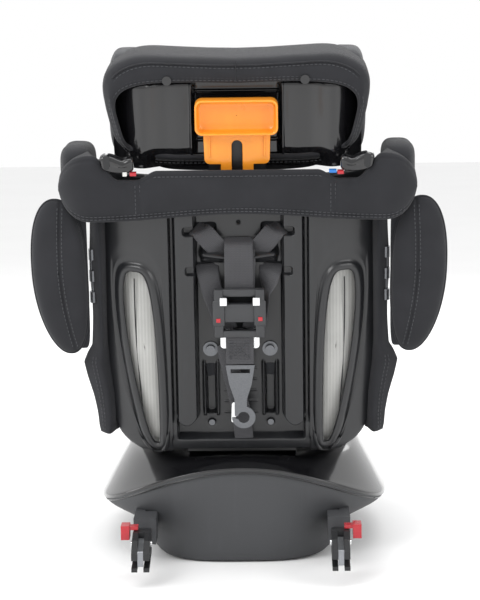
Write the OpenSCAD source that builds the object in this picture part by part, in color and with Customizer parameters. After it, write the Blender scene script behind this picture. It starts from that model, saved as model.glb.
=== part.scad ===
// Convertible car seat on a swivelling base, with rigid anchor connectors, fold-out side pods,
// a height-adjustable headrest, a five-point harness and a top tether.
// +X is the child's left, +Y is the way the child faces, +Z is up. The origin is on the floor,
// on the axis the seat swivels about. Units are millimetres.

/* [Base] */
// Width of the base across its side tips
base_w = 424; // [410:1:430]
// Width of the base where it meets the floor
base_foot_w = 272; // [240:1:290]
// Distance from the swivel axis to the back of the base
base_back = 265; // [255:1:275]
// Distance from the swivel axis to the front of the base
base_front = 246; // [235:1:260]
// Height of the base shell's edge at the side tips
base_tip_z = 96; // [90:1:100]
// Height of the base shell's edge at the back
base_rim_z = 138; // [130:1:140]
// Height of the cover's crown
crown_z = 150; // [148:1:151]
// Wall thickness of the base mouldings
base_wall = 3.5; // [3:0.1:5]

/* [Swivel] */
// Radius of the running fit between the turntable hub and the drum
swivel_r = 112; // [108:1:114]
// Radial running clearance of the hub
swivel_gap = 0.05; // [0.02:0.01:0.1]
// Radius of the turntable plate
plate_r = 160; // [150:1:170]

/* [Anchor connectors] */
// Distance between the centres of the two connectors
anchor_pitch = 280; // [278:1:282]
// Height of the connector arms' centre line
arm_z = 52; // [50:1:54]
// Width of an arm
arm_w = 18; // [16:1:19]
// Height of an arm
arm_h = 16; // [14:1:18]
// Where the connector housings end, behind the swivel axis
tip_back = 408; // [400:1:412]

/* [Backrest] */
// Lean of the backrest
lean_deg = 11; // [9:0.5:13]
// Height of the backrest shell, along the lean
back_h = 428; // [420:1:434]
// Half width of the backrest shell at its side wings
wing_x = 206; // [202:1:208]
// How far the side wings reach forward
wing_y = 165; // [150:1:170]
// Wall thickness of the seat mouldings
shell_wall = 4; // [3:0.1:5]
// Half width of the recess between the pillars
recess_x = 61; // [58:1:63]
// Half width over the two pillars
pillar_x = 97; // [94:1:99]

/* [Seat] */
// Half width of the seat pan at its floor
pan_x = 186; // [180:1:190]
// Half width of the seat pan at its upper edge
pan_top_x = 216; // [208:1:220]
// Front end of the seat pan
pan_front = 256; // [245:1:265]

/* [Headrest] */
// Height of the headrest's top along the lean
head_top = 596; // [580:1:600]
// Half width of the headrest
head_x = 188; // [180:1:192]

/* [Harness] */
// Width of the harness and tether webbing
web_w = 40; // [36:1:44]
// Thickness of the webbing
web_t = 2; // [1.5:0.1:2.5]

/* [Side pods] */
// Height of a pod
pod_h = 222; // [210:1:232]
// Width of a pod, from its hinge edge
pod_w = 80; // [74:1:84]
// Thickness of a pod
pod_t = 36; // [30:1:37]

/* [Hidden] */
$fn = 64;
side_n = 48;                       // points round a lofted ring
lean_y = -235;                     // where the backrest's plane starts
lean_z = 150;
plate_z = crown_z + 3;             // underside of the turntable plate
plate_t = 7;
pivot_y = -178;                    // recline pivot
pivot_z = 180;
arc_r = 262;                       // radius of the recline arc about its pivot
arm_x = anchor_pitch / 2;
jaw_y = -371;                      // pivots of the connectors' jaws
jaw_z = arm_z + 4;
hinge_x = 211;                     // fold axis of the side pods, in the backrest's own frame
hinge_y = 34;
pod_s = 272;                       // middle of the pods along the lean
hinge_pin_r = 2;
running_fit = 0.05;                // radial gap of the pods' hinge bores

function spow(v, p) = sign(v) * pow(abs(v), p);
// Ring of a superellipse with half width hw, from y0 to y1; n is its roundness and z a list or number
function oval(hw, y0, y1, n, z) = [for (i = [0:side_n - 1]) let (a = 360 * i / side_n)
    [hw * spow(cos(a), 2 / n), (y0 + y1) / 2 + (y1 - y0) / 2 * spow(sin(a), 2 / n), is_list(z) ? z[i] : z]];
function mixed(a, b, t) = [for (i = [0:len(a) - 1]) a[i] * (1 - t) + b[i] * t];
function lifted(ring, dz) = [for (p = ring) [p[0], p[1], p[2] + dz]];

// Solid through a list of rings, closed by its first and last ring
module loft(rings) {
    n = len(rings[0]);
    m = len(rings);
    polyhedron(points = [for (r = rings) each r], faces = concat(
        [[for (i = [0:n - 1]) i]],
        [for (k = [0:m - 2]) for (i = [0:n - 1]) let (j = (i + 1) % n)
            each [[k * n + i, (k + 1) * n + i, (k + 1) * n + j], [k * n + i, (k + 1) * n + j, k * n + j]]],
        [[for (i = [n - 1:-1:0]) (m - 1) * n + i]]));
}
// Ring-shaped solid: the last ring joins the first
module loop_loft(rings) {
    n = len(rings[0]);
    m = len(rings);
    polyhedron(points = [for (r = rings) each r], faces =
        [for (k = [0:m - 1]) for (i = [0:n - 1]) let (j = (i + 1) % n, l = (k + 1) % m)
            each [[k * n + i, l * n + i, l * n + j], [k * n + i, l * n + j, k * n + j]]]);
}
// A flat shape drawn in X and Z, made solid from y0 to y1
module slab(y0, y1) translate([0, y1, 0]) rotate([90, 0, 0]) linear_extrude(y1 - y0) children();
// A flat shape drawn in Y and Z, made solid from x0 to x1
module plank(x0, x1) translate([x0, 0, 0]) rotate([90, 0, 90]) linear_extrude(x1 - x0) children();
module both() { children(); mirror([1, 0, 0]) children(); }
module lean() translate([0, lean_y, lean_z]) rotate([lean_deg, 0, 0]) children();
module rod(r, x0, x1) translate([x0, 0, 0]) rotate([0, 90, 0]) cylinder(r = r, h = x1 - x0);
module rounded(w, h, r) hull() for (x = [r, w - r], z = [r, h - r]) translate([x, z]) circle(r, $fn = 24);
// Box with rounded edges along all three axes
module pad(lo, hi, r) hull() for (x = [lo[0] + r, hi[0] - r], y = [lo[1] + r, hi[1] - r], z = [lo[2] + r, hi[2] - r])
    translate([x, y, z]) sphere(r, $fn = 20);
// Flat strip that follows points [x, y, z], w wide along X and t thick
module strip(pts, w, t) for (i = [0:len(pts) - 2]) hull() for (p = [pts[i], pts[i + 1]])
    translate(p) cube([w, t, t], center = true);

// ---------- base ----------
function edge_z(shrink) = [for (p = oval(1, -1, 1, 3.2, 0)) p[1] < 0
    ? base_tip_z + (base_rim_z - base_tip_z) * pow(1 - p[0] * p[0], 1.1) - shrink
    : base_tip_z + 16 * (1 - p[0] * p[0]) - shrink];
base_edge = oval(base_w / 2, -base_back, base_front, 3.2, edge_z(0));
base_inner_edge = oval(base_w / 2 - base_wall, base_wall - base_back, base_front - base_wall, 3.2, edge_z(0));

module base_shell() color("#3a3b3d") difference() {
    loft([
        oval(base_foot_w / 2 - 6, -251, 206, 3.4, 0),
        oval(base_foot_w / 2, -256, 212, 3.4, 5),
        oval(base_foot_w / 2 + 15, -262, 222, 3.2, 22),
        oval(base_foot_w / 2 + 22, -265, 230, 3.2, 50),
        oval(base_foot_w / 2 + 46, -267, 240, 3, [for (z = edge_z(0)) 66 + 0.12 * (z - base_tip_z)]),
        oval(base_w / 2 - 3, -268, base_front - 1, 3.2, [for (z = edge_z(0)) 84 + 0.5 * (z - base_tip_z)]),
        lifted(base_edge, -0.1),
        lifted(base_inner_edge, -0.1),
        oval(base_w / 2 - 7, -263, base_front - 6, 3.2, [for (z = edge_z(0)) 86 + 0.5 * (z - base_tip_z)]),
        oval(base_foot_w / 2 + 42, -262, 234, 3, [for (z = edge_z(0)) 70 + 0.12 * (z - base_tip_z)]),
        oval(base_foot_w / 2 + 18, -260, 225, 3.2, 52),
        oval(base_foot_w / 2 + 11, -257, 217, 3.2, 22),
        oval(base_foot_w / 2 - 4, -250, 206, 3.4, base_wall + 2)]);
    for (x = [-arm_x, arm_x]) translate([x - 16.4, -300, arm_z - 15.4]) cube([32.8, 172, 38.8]);
    for (x = [-arm_x, arm_x]) translate([x - arm_w / 2 - 0.6, -300, arm_z - arm_h / 2 - 0.6])
        cube([arm_w + 1.2, 285, arm_h + 1.2]);
    for (p = pad_spots) translate([p[0], p[1], -1]) cylinder(r = 14, h = 3);
    translate([0, base_front - 24, 58]) rotate([-90, 0, 0]) cylinder(r = 13.4, h = 60);
}
pad_spots = [[-95, -190], [95, -190], [-95, 150], [95, 150]];

module grip_pads() color("#1a1a1a") for (p = pad_spots) translate([p[0], p[1], 0]) cylinder(r = 14, h = 2);

module base_cover() color("#141416") {
    hole = oval(126, -126, 126, 2, crown_z);
    crest = oval(base_w / 2 - 46, 60 - base_back, base_front - 50, 2.4, crown_z - 2);
    crown = mixed(crest, hole, 0.6);
    shoulder = mixed(base_edge, crest, 0.4);
    loop_loft([base_edge, lifted(shoulder, 5), crest, lifted(crown, 0.8), hole,
        lifted(hole, -3), lifted(crown, -2.6), lifted(crest, -3), lifted(shoulder, 1.5), base_inner_edge]);
}

module swivel_drum() color("#2a2b2d") difference() {
    translate([0, 0, base_wall + 2]) cylinder(r = swivel_r + 10, h = crown_z - 5 - base_wall - 2, $fn = 96);
    translate([0, 0, 1]) cylinder(r = swivel_r + 6.5, h = 95, $fn = 96);
    translate([0, 0, 90]) cylinder(r = swivel_r, h = 80, $fn = 96);
}
module glide_ring() color("#d8d8d2") translate([0, 0, crown_z - 5]) difference() {
    cylinder(r = swivel_r + 9, h = 7.2, $fn = 96);
    translate([0, 0, -1]) cylinder(r = swivel_r + 1, h = 12, $fn = 96);
}
module arm_guides() color("#2e2f31") both() {
    difference() {
        union() {
            translate([arm_x - 16, -294, arm_z - 15]) cube([32, 50, 38]);
            translate([arm_x + 2, -245, arm_z - 15]) cube([14, 115, 38]);
        }
        arm_tunnel(arm_x);
    }
    difference() {
        union() {
            translate([arm_x - 22, -100, base_wall + 2]) cube([11, 60, arm_z + 16 - base_wall - 2]);
            translate([arm_x - 22, -100, 30]) cube([26, 60, arm_z - 14]);
        }
        arm_tunnel(arm_x);
    }
}
module arm_tunnel(x) translate([x - arm_w / 2 - 0.4, -400, arm_z - arm_h / 2 - 0.4])
    cube([arm_w + 0.8, 500, arm_h + 0.8]);
module slide_lock_button() color("#b8241f") translate([0, base_front - 22, 58]) rotate([-90, 0, 0])
    cylinder(r = 13, h = 34);

// ---------- anchor connectors ----------
module anchor_frame() color("#8c9094") {
    for (x = [-arm_x, arm_x]) translate([x - arm_w / 2, -340, arm_z - arm_h / 2]) cube([arm_w, 295, arm_h]);
    translate([arm_w / 2 - arm_x, -190, arm_z - arm_h / 2]) cube([anchor_pitch - arm_w, 16, arm_h]);
}
// Housing drawn in Y and Z, with the mouth that takes the vehicle's anchor bar
module housing_outline() difference() {
    polygon([[-340, arm_z + 18], [-340, arm_z - 14], [-368, arm_z - 20], [-tip_back, arm_z - 28], [-tip_back, arm_z - 2],
        [-386, arm_z + 12], [-362, arm_z + 18]]);
    hull() for (y = [-382, -430]) translate([y, arm_z - 14 + (y + 382) * 0.12]) circle(5.2);
}
module connector(x) color("#1b1c1e") difference() {
    translate([x, 0, 0]) plank(-12.5, 12.5) housing_outline();
    translate([x - 4.3, -tip_back - 10, arm_z - 40]) cube([8.6, 58, 80]);
    translate([x, jaw_y, jaw_z]) rod(4.05, -20, 20);
    }
module connector_left() connector(-arm_x);
module connector_right() connector(arm_x);
module connector_pins() color("#d0d2d4") for (x = [-arm_x, arm_x]) translate([x, jaw_y, jaw_z]) {
    rod(4.05, -15, -12.5);
    rod(3, -15, 15);
    rod(4.05, 12.5, 15);
}
// Plate with a tooth that drops in front of the anchor bar
module jaw(x) color("#9a9ea2") translate([x, 0, 0]) difference() {
    plank(-4, 4) {
        hull() {
            translate([jaw_y, jaw_z]) circle(8, $fn = 32);
            translate([-401, arm_z - 3]) circle(4, $fn = 32);
        }
        hull() {
            translate([-401, arm_z - 3]) circle(4, $fn = 32);
            translate([-402, arm_z - 19]) circle(2.5, $fn = 32);
        }
    }
    translate([0, jaw_y, jaw_z]) rod(3.05, -20, 20);
}
module jaw_left() jaw(-arm_x);
module jaw_right() jaw(arm_x);
module release_tab(x, way) color("#c41f2b") translate([x, -338, 0]) {
    translate([-way * 24 - 6, -18, arm_z + 6]) cube([12, 26, 20]);
    translate([-way * 24 - 4 + (way > 0 ? 8 : -14), -14, arm_z + 19.4]) cube([14, 16, 5]);
}
module release_tab_left() release_tab(-arm_x, 1);
module release_tab_right() release_tab(arm_x, -1);

// ---------- turntable ----------
module turntable() color("#303133") difference() {
    union() {
        translate([0, 0, plate_z]) cylinder(r = plate_r, h = plate_t, $fn = 96);
        translate([-80, pivot_y - 16, plate_z + 1]) cube([160, 160, plate_t - 1]);
        difference() {
            translate([0, 0, 95.6]) cylinder(r = swivel_r - swivel_gap, h = plate_z - 90, $fn = 96);
            translate([0, 0, 90]) cylinder(r = swivel_r - 12, h = plate_z - 90, $fn = 96);
        }
        for (x = [-72, 60]) plank_lug(x, 12);
    }
    translate([-23, 70, 60]) cube([46, 24, 200]);
    translate([-16.6, plate_r - 16, plate_z + 0.5]) cube([33.2, 40, 20]);
    translate([0, pivot_y, pivot_z]) rod(8.05, -100, 100);
}
// Upright ear round the recline pivot
module plank_lug(x, w) plank(x, x + w) hull() {
    translate([pivot_y, pivot_z]) circle(14, $fn = 32);
    translate([pivot_y - 15, plate_z + 2]) square([30, 2]);
}
module swivel_retainer() color("#8c9094") translate([0, 0, 90]) difference() {
    cylinder(r = swivel_r + 5.5, h = 5.6, $fn = 96);
    translate([0, 0, -1]) cylinder(r = swivel_r - 12, h = 12, $fn = 96);
}
module recline_pin() color("#c4c6c8") translate([0, pivot_y, pivot_z]) {
    rod(8, -72, 72);
    rod(12, -75, -72);
    rod(12, 72, 75);
}
module rotation_lever() color("#3c3e41") translate([0, 0, plate_z + 1]) {
    translate([-16, plate_r - 4, 0]) cube([32, 70, 5]);
    translate([-30, plate_r + 64, 0]) slab_disc();
}
module slab_disc() hull() for (x = [10, 50]) translate([x, 8, 0]) cylinder(r = 9, h = 7, $fn = 32);

// ---------- seat mouldings ----------
// Rear outline of the backrest shell, in the backrest's own frame
module back_outline() polygon([[-139, 6], [-150, 10], [-172, 26], [-183, 42], [-192, 88], [-200, 170], [-wing_x, 260],
    [-wing_x, back_h], [wing_x, back_h], [wing_x, 260], [200, 170], [192, 88], [183, 42], [172, 26], [150, 10], [139, 6]]);
// Arched window with a narrow lower end that bends inwards
module window_outline(grow) offset(r = grow) hull() {
    translate([148, 252]) circle(24, $fn = 32);
    translate([146, 150]) circle(21, $fn = 32);
    translate([126, 34]) circle(8, $fn = 24);
}
module back_shell() color("#202123") lean() {
    difference() {
        union() {
            both() intersection() {
                difference() {
                    translate([88, 158, 0]) cylinder(r = 155, h = back_h, $fn = 128);
                    translate([88, 158, -1]) cylinder(r = 155 - shell_wall, h = back_h + 2, $fn = 128);
                }
                slab(-5, 62) difference() {
                    back_outline();
                    translate([-500, -10]) square([500 + pillar_x - 2, 500]);
                }
            }
            both() difference() {
                slab(0, 30) polygon([[recess_x - 1, 50], [recess_x + 8, 26], [pillar_x - 9, 26], [pillar_x, 50],
                    [pillar_x, back_h], [recess_x - 1, back_h]]);
                translate([recess_x + shell_wall, shell_wall, 40])
                    cube([pillar_x - recess_x - 2 * shell_wall, 50, back_h]);
            }
            slab(26, 30) translate([-recess_x, 12]) square([2 * recess_x, back_h - 12]);
            slab(6, 30) polygon([[-128, 9], [128, 9], [pillar_x, 34], [-pillar_x, 34]]);
            for (x = [-70, 41]) translate([x, 29, 14]) cube([29, 9, 16]);
            both() slab(36, 46) polygon([[187, 238], [205, 246], [205, 306], [187, 314]]);
        }
        both() slab(-20, 62) window_outline(0);
        strap_slots(60);
        for (x = [-43, 43]) slab(20, 60) hull() for (z = [68, 132]) translate([x, z]) circle(7, $fn = 32);
        for (x = [-43, 43]) translate([x, 50, 162]) rotate([90, 0, 0]) cylinder(r = 4.1, h = 60);
    }
}
module strap_slots(y) both() for (z = [296, 346]) slab(-1, y) hull() for (x = [34, 78]) translate([x, z]) circle(5.5, $fn = 24);

module side_wings() color("#202123") lean() both() intersection() {
    translate([wing_x - shell_wall, 64, 150]) cube([shell_wall, wing_y - 64, 270]);
    plank(150, 260) hull() {
        translate([64, 150]) square([1, 270]);
        translate([wing_y - 30, 210]) circle(30, $fn = 32);
        translate([wing_y - 30, 388]) circle(30, $fn = 32);
    }
}
// Tub: floor, front lip and two side walls
module seat_pan() color("#242527") {
    difference() {
        union() {
            translate([-pan_x, -196, 198]) cube([2 * pan_x, pan_front + 176, shell_wall]);
            translate([-pan_x + 6, pan_front - 20 - shell_wall, 172]) cube([2 * pan_x - 12, shell_wall, 66]);
            for (x = [-40, 22]) plank(x, x + 18) hull() {
                translate([pivot_y, pivot_z]) circle(13, $fn = 32);
                translate([-196, 190]) square([20, 9]);
            }
        }
        translate([0, pivot_y, pivot_z]) rod(8.05, -100, 100);
        translate([-17, pan_front - 60, 180]) cube([34, 60, 12]);
    }
    both() intersection() {
        translate([pan_x, 0, 166]) rotate([0, 13, 0]) translate([-shell_wall, -300, 0]) cube([shell_wall, 600, 160]);
        plank(100, 300) hull() {
            translate([-180, 166]) square([10, 120]);
            translate([pan_front - 50, 196]) circle(30, $fn = 32);
            translate([pan_front - 70, 270]) circle(30, $fn = 32);
        }
    }
}
module window_liners() color("#c9cac6") lean() both() intersection() {
    difference() {
        translate([88, 158, 0]) cylinder(r = 148, h = back_h, $fn = 96);
        translate([88, 158, -1]) cylinder(r = 145, h = back_h + 2, $fn = 96);
    }
    slab(0, 100) window_outline(7);
}
module recline_arc() color("#8c9094") translate([0, pivot_y, pivot_z]) intersection() {
    rotate([0, 90, 0]) difference() {
        translate([0, 0, -20]) cylinder(r = arc_r + 5, h = 40, $fn = 128);
        translate([0, 0, -21]) cylinder(r = arc_r - 5, h = 42, $fn = 128);
    }
    plank(-21, 21) polygon([[0, 0], [200, 18], [400, 18], [400, -196]]);
}
module recline_lever() color("#3c3e41") {
    translate([-15, pan_front - 44, 182]) cube([30, 58, 8]);
    hull() for (x = [-34, 34]) translate([x, pan_front + 20, 180]) cylinder(r = 9, h = 12, $fn = 32);
}
// Screws of the shell, guide bolts and their washers
module shell_hardware() color("#77797c") lean() for (x = [-43, 43]) {
    translate([x, 26, 162]) rotate([90, 0, 0]) cylinder(r = 11, h = 3);
    translate([x, 23, 162]) rotate([90, 0, 0]) cylinder(r = 6.5, h = 5);
    translate([x, 26, 48]) rotate([90, 0, 0]) cylinder(r = 4.5, h = 2.5);
}

// ---------- soft parts ----------
module seat_cushion() color("#4a4b4e") pad([-160, -128, 204], [160, 231, 262], 18);
module back_cushion() color("#4a4b4e") lean() pad([-142, 36, 112], [142, 84, 372], 16);
module torso_bolsters() color("#3f4043") lean() both() pad([150, 68, 158], [201, 170, 386], 18);
module thigh_bolsters() color("#3f4043") both() pad([166, -60, 214], [188, 226, 316], 10);
// Rear band and the padded shoulders of the cover
module shoulder_yoke() color("#3a3b3e") lean() {
    slab(-9, -0.4) polygon([[-208, 366], [-100, 360], [100, 360], [208, 366], [208, 434], [100, 424], [-100, 424],
        [-208, 434]]);
    both() difference() {
        hull() {
            translate([230, 40, 410]) sphere(24, $fn = 24);
            translate([228, 30, 428]) sphere(27, $fn = 24);
            translate([228, 110, 408]) sphere(22, $fn = 24);
            translate([214, 112, 436]) sphere(20, $fn = 24);
            translate([214, 12, 438]) sphere(17, $fn = 24);
        }
        translate([0, 10, 300]) cube([wing_x + 1, 300, 300]);
    }
}
module side_flaps() color("#3a3b3e") both() intersection() {
    translate([pan_x + 2, 0, 166]) rotate([0, 13, 0]) translate([0, -300, 0]) cube([3, 600, 150]);
    plank(100, 300) polygon([[-168, 190], [-176, 300], [40, 300], [150, 262], [150, 196]]);
}

// ---------- harness ----------
module harness_straps() color("#18181a") both() {
    lean() translate([56, 88, 0]) strip([[0, 0, 310], [0, 0, 240], [-10, 4, 170], [-22, 20, 112]], web_w, web_t);
}
module shoulder_pads() color("#3a3b3e") lean() both() pad([34, 92.5, 180], [80, 106, 292], 6);
module lap_straps() color("#18181a") both() strip([[150, -60, 282], [110, -64, 292], [60, -64, 302]], web_t * 3, web_w * 0.8);
module crotch_strap() color("#18181a") {
    translate([-18, 52, 263]) rotate([28, 0, 0]) cube([36, 4, 38]);
    pad([-24, 58, 263], [24, 72, 306], 6);
}
module buckle() color("#232427") translate([0, 18, 318]) rotate([28, 0, 0]) difference() {
    pad([-31, -12, -26], [31, 12, 34], 8);
    translate([0, -4, 2]) rotate([-90, 0, 0]) cylinder(r = 13.5, h = 40);
}
module buckle_button() color("#c41f2b") translate([0, 18, 318]) rotate([28, 0, 0]) translate([0, 1, 2]) rotate([-90, 0, 0])
    cylinder(r = 13, h = 13);
module harness_adjuster() color("#232427") difference() {
    translate([-24, pan_front - 20, 214]) cube([48, 16, 34]);
    translate([-15, pan_front - 17.5, 228]) cube([30, 30, 14]);
}
module harness_button() color("#c41f2b") translate([-14.5, pan_front - 12, 228.5]) cube([29, 12, 13]);
// Straps that run down behind the shell to the splitter plate
module rear_straps() color("#151517") lean() {
    for (x = [-1, 1]) translate([0, 17, 0]) strip([[x * 40, 6, 290], [x * 39, -2, 268], [x * 24, -5, 205]], 36, web_t);
    translate([0, 12, 0]) strip([[-20, -2, 164], [-4, -4, 100], [4, -2, 37]], 28, web_t);
}
module splitter_plate() color("#d5d7d9") lean() translate([-28, 8, 168]) difference() {
    slab(0, 2.5) rounded(56, 30, 5);
    slab(-1, 4) translate([8, 8]) square([40, 6]);
}
module tether_web() color("#17171a") lean() {
    translate([0, 4, 0]) strip([[0, 20, 330], [0, 2, 318], [0, -2, 258]], web_w, web_t);
    strip([[0, -6, 187], [0, -8, 150]], web_w, web_t * 2);
}
module tether_adjuster() color("#6f7276") lean() translate([-36, -12, 190]) difference() {
    slab(0, 12) rounded(72, 72, 8);
    slab(-1, 14) translate([14, 52]) square([44, 9]);
    slab(-1, 14) translate([14, 12]) square([44, 9]);
}
module tether_hook() color("#55585c") lean() translate([0, -9, 0]) slab(0, 3) difference() {
    union() {
        polygon([[-21, 148], [21, 148], [16, 118], [9, 96], [9, 70], [-9, 70], [-9, 96], [-16, 118]]);
        difference() {
            translate([4, 68]) circle(17);
            translate([4, 68]) circle(8.5);
            translate([-14, 66]) square([12, 18]);
        }
    }
    translate([-14, 136]) square([28, 6]);
    translate([4, 68]) circle(8.5);
}
module tether_gate() color("#c8cacc") lean() translate([0, -5.4, 0]) slab(0, 2) {
    translate([-9, 86]) circle(4);
    polygon([[-13, 86], [-5, 86], [-8, 62], [-14, 62]]);
    translate([-11, 62]) circle(3);
}
// Horns that hold the vehicle's shoulder belt at the headrest's lower corners
module belt_guides() color("#0e0e10") lean() both() difference() {
    slab(-12, 18) hull() for (p = [[150, 453], [184, 451], [160, 442], [176, 440.5]]) translate(p) circle(7, $fn = 24);
    slab(-20, 10) translate([150, 443]) square([60, 8]);
}
module guide_markers() color("#c41f2b") lean() for (x = [-150, 138]) translate([x, -10, 435]) cube([12, 8, 5]);
module belt_latch(x) color("#1b1b1d") lean() translate([x, 0, 0]) slab(-17, -12.6) {
    translate([0, 457]) circle(5);
    polygon([[-5, 457], [5, 457], [4, 445], [-4, 445]]);
    translate([0, 445]) circle(4);
}
module belt_latch_left() belt_latch(-182);
module belt_latch_right() belt_latch(182);

// ---------- headrest ----------
// Hard shell: a back plate and two forward wings
module headrest_shell() color("#0f0f11") lean() {
    difference() {
        slab(31, 35) polygon([[-150, 452], [150, 452], [head_x - 22, 500], [head_x - 20, 582], [20 - head_x, 582],
            [22 - head_x, 500]]);
        slab(0, 60) translate([-48, 440]) square([96, 100]);
    }
    slab(42, 45) translate([-56, 446]) square([112, 100]);
    both() intersection() {
        difference() {
            translate([head_x - 54, 84, 452]) cylinder(r = 50, h = 130, $fn = 96);
            translate([head_x - 54, 84, 451]) cylinder(r = 46, h = 132, $fn = 96);
        }
        translate([head_x - 50, 31, 452]) cube([60, 60, 130]);
    }
}
module headrest_stem() color("#2a2b2d") lean() {
    translate([-40, 20.4, 380]) cube([80, 4, 102]);
    for (x = [-34, 28]) translate([x, 20.4, 470.6]) cube([6, 21.6, 11.4]);
}
module headrest_pad() color("#45464a") lean() {
    pad([-138, 48, 424], [138, 90, 588], 15);
    both() pad([140, 92, 440], [178, 158, 586], 14);
}
// Fabric over the top of the headrest
module headrest_cover() color("#3a3b3e") lean() difference() {
    hull() for (x = [-1, 1]) {
        translate([x * (head_x - 16), 26, head_top - 16]) sphere(16, $fn = 24);
        translate([x * (head_x - 20), 26, head_top - 26]) sphere(16, $fn = 24);
        translate([x * (head_x - 12), 130, head_top - 12]) sphere(12, $fn = 24);
    }
    translate([-300, 12.5, 400]) cube([600, 200, 188.4]);
}
module headrest_snaps() color("#08080a") lean() for (x = [-96, 96]) translate([x, 9.9, 562]) rotate([90, 0, 0])
    cylinder(r = 6.5, h = 4);
module headrest_lever() color("#e8851c") lean() {
    difference() {
        slab(-6, 14) translate([-58, 486]) rounded(116, 50, 10);
        slab(-7, 10) translate([-54, 490]) rounded(108, 42, 7);
    }
    difference() {
        slab(10, 14) polygon([[-46, 444], [46, 444], [47, 487], [-47, 487]]);
        slab(9, 15) polygon([[-7.5, 430], [7.5, 430], [7.5, 475], [-7.5, 475]]);
    }
    for (x = [-23, 8.5]) translate([x, 10, 404]) cube([14.5, 4, 41]);
}

// ---------- side pods ----------
module pod_hinges() color("#4c4e52") lean() both() {
    translate([hinge_x, hinge_y, pod_s - 40]) cylinder(r = hinge_pin_r, h = 80);
    for (z = [pod_s - 40, pod_s - 8, pod_s + 24]) {
        translate([hinge_x, hinge_y, z]) cylinder(r = 5, h = 16);
        translate([206.4, hinge_y + 2.2, z]) cube([4, 9, 16]);
    }
}
module pod(way) color("#3a3b3e") lean() scale([way, 1, 1]) difference() {
    union() {
        hull() {
            for (a = [0:30:330]) translate([hinge_x + 7.6 + pod_w / 2 + (pod_w / 2 - 10) * cos(a), hinge_y - 21,
                pod_s + (pod_h / 2 - 10) * sin(a)]) sphere(10, $fn = 20);
            for (a = [0:45:315]) translate([hinge_x + 7.6 + pod_w / 2 + (pod_w / 2 - 18) * cos(a), hinge_y - 17,
                pod_s + (pod_h / 2 - 30) * sin(a)]) sphere(pod_t / 2 - 1, $fn = 20);
        }
        for (z = [pod_s - 23.6, pod_s + 8.4]) {
            translate([hinge_x, hinge_y, z]) cylinder(r = 4.4, h = 15.2);
            translate([hinge_x, hinge_y - 4.4, z]) cube([20, 4.4, 15.2]);
        }
    }
    translate([hinge_x, hinge_y, pod_s - 30]) cylinder(r = hinge_pin_r + running_fit, h = 60);
}
module pod_left() pod(-1);
module pod_right() pod(1);

base_shell();
base_cover();
swivel_drum();
glide_ring();
grip_pads();
arm_guides();
slide_lock_button();
anchor_frame();
connector_left();
connector_right();
connector_pins();
jaw_left();
jaw_right();
release_tab_left();
release_tab_right();
turntable();
swivel_retainer();
recline_pin();
rotation_lever();
back_shell();
side_wings();
seat_pan();
window_liners();
recline_arc();
recline_lever();
shell_hardware();
seat_cushion();
back_cushion();
torso_bolsters();
thigh_bolsters();
shoulder_yoke();
side_flaps();
harness_straps();
shoulder_pads();
lap_straps();
crotch_strap();
buckle();
buckle_button();
harness_adjuster();
harness_button();
rear_straps();
splitter_plate();
tether_web();
tether_adjuster();
tether_hook();
tether_gate();
belt_guides();
guide_markers();
belt_latch_left();
belt_latch_right();
headrest_shell();
headrest_stem();
headrest_pad();
headrest_cover();
headrest_snaps();
headrest_lever();
pod_hinges();
pod_left();
pod_right();
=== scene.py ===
"""Looks of a convertible car seat, laid out as an add-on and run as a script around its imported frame."""
import math

import bmesh
import bpy
import numpy as np
from bpy.props import FloatProperty, FloatVectorProperty, PointerProperty
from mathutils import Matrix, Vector


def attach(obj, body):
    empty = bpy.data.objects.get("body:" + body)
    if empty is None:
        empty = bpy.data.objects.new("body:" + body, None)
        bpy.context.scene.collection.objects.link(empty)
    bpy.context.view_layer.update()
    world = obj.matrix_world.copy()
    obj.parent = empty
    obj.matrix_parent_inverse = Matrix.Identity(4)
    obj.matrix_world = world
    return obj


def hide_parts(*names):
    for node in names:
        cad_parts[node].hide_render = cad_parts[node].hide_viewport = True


bl_info = {
    "name": "Convertible Car Seat",
    "version": (1, 0, 0),
    "blender": (4, 5, 0),
    "location": "View3D > Sidebar > Car Seat",
    "description": "Makes the fabric, mouldings, webbing and stage of a convertible car seat",
    "category": "Object",
}

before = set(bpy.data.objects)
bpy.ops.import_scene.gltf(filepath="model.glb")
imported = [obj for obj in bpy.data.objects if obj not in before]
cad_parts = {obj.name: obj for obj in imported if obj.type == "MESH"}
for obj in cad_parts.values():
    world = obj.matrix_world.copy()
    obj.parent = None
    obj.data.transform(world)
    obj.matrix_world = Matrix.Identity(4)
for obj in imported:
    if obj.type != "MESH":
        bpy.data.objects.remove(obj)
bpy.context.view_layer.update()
MM = 0.001
SIDES = (-1.0, 1.0)
# The backrest's own frame: x across, y forwards and s up along the lean, in millimetres
LEAN = math.radians(11)
LEAN_Y, LEAN_Z = -235.0, 150.0
HINGE_X, HINGE_Y, POD_S = 211.0, 34.0, 272.0


# ---------- settings ----------
def colour(name, description, default):
    """Colour property with linear values."""
    return FloatVectorProperty(name=name, description=description, default=default, subtype="COLOR", size=3,
                               min=0.0, max=1.0)


def length(name, description, default):
    """Length property in metres."""
    return FloatProperty(name=name, description=description, default=default, unit="LENGTH", precision=4)


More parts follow.
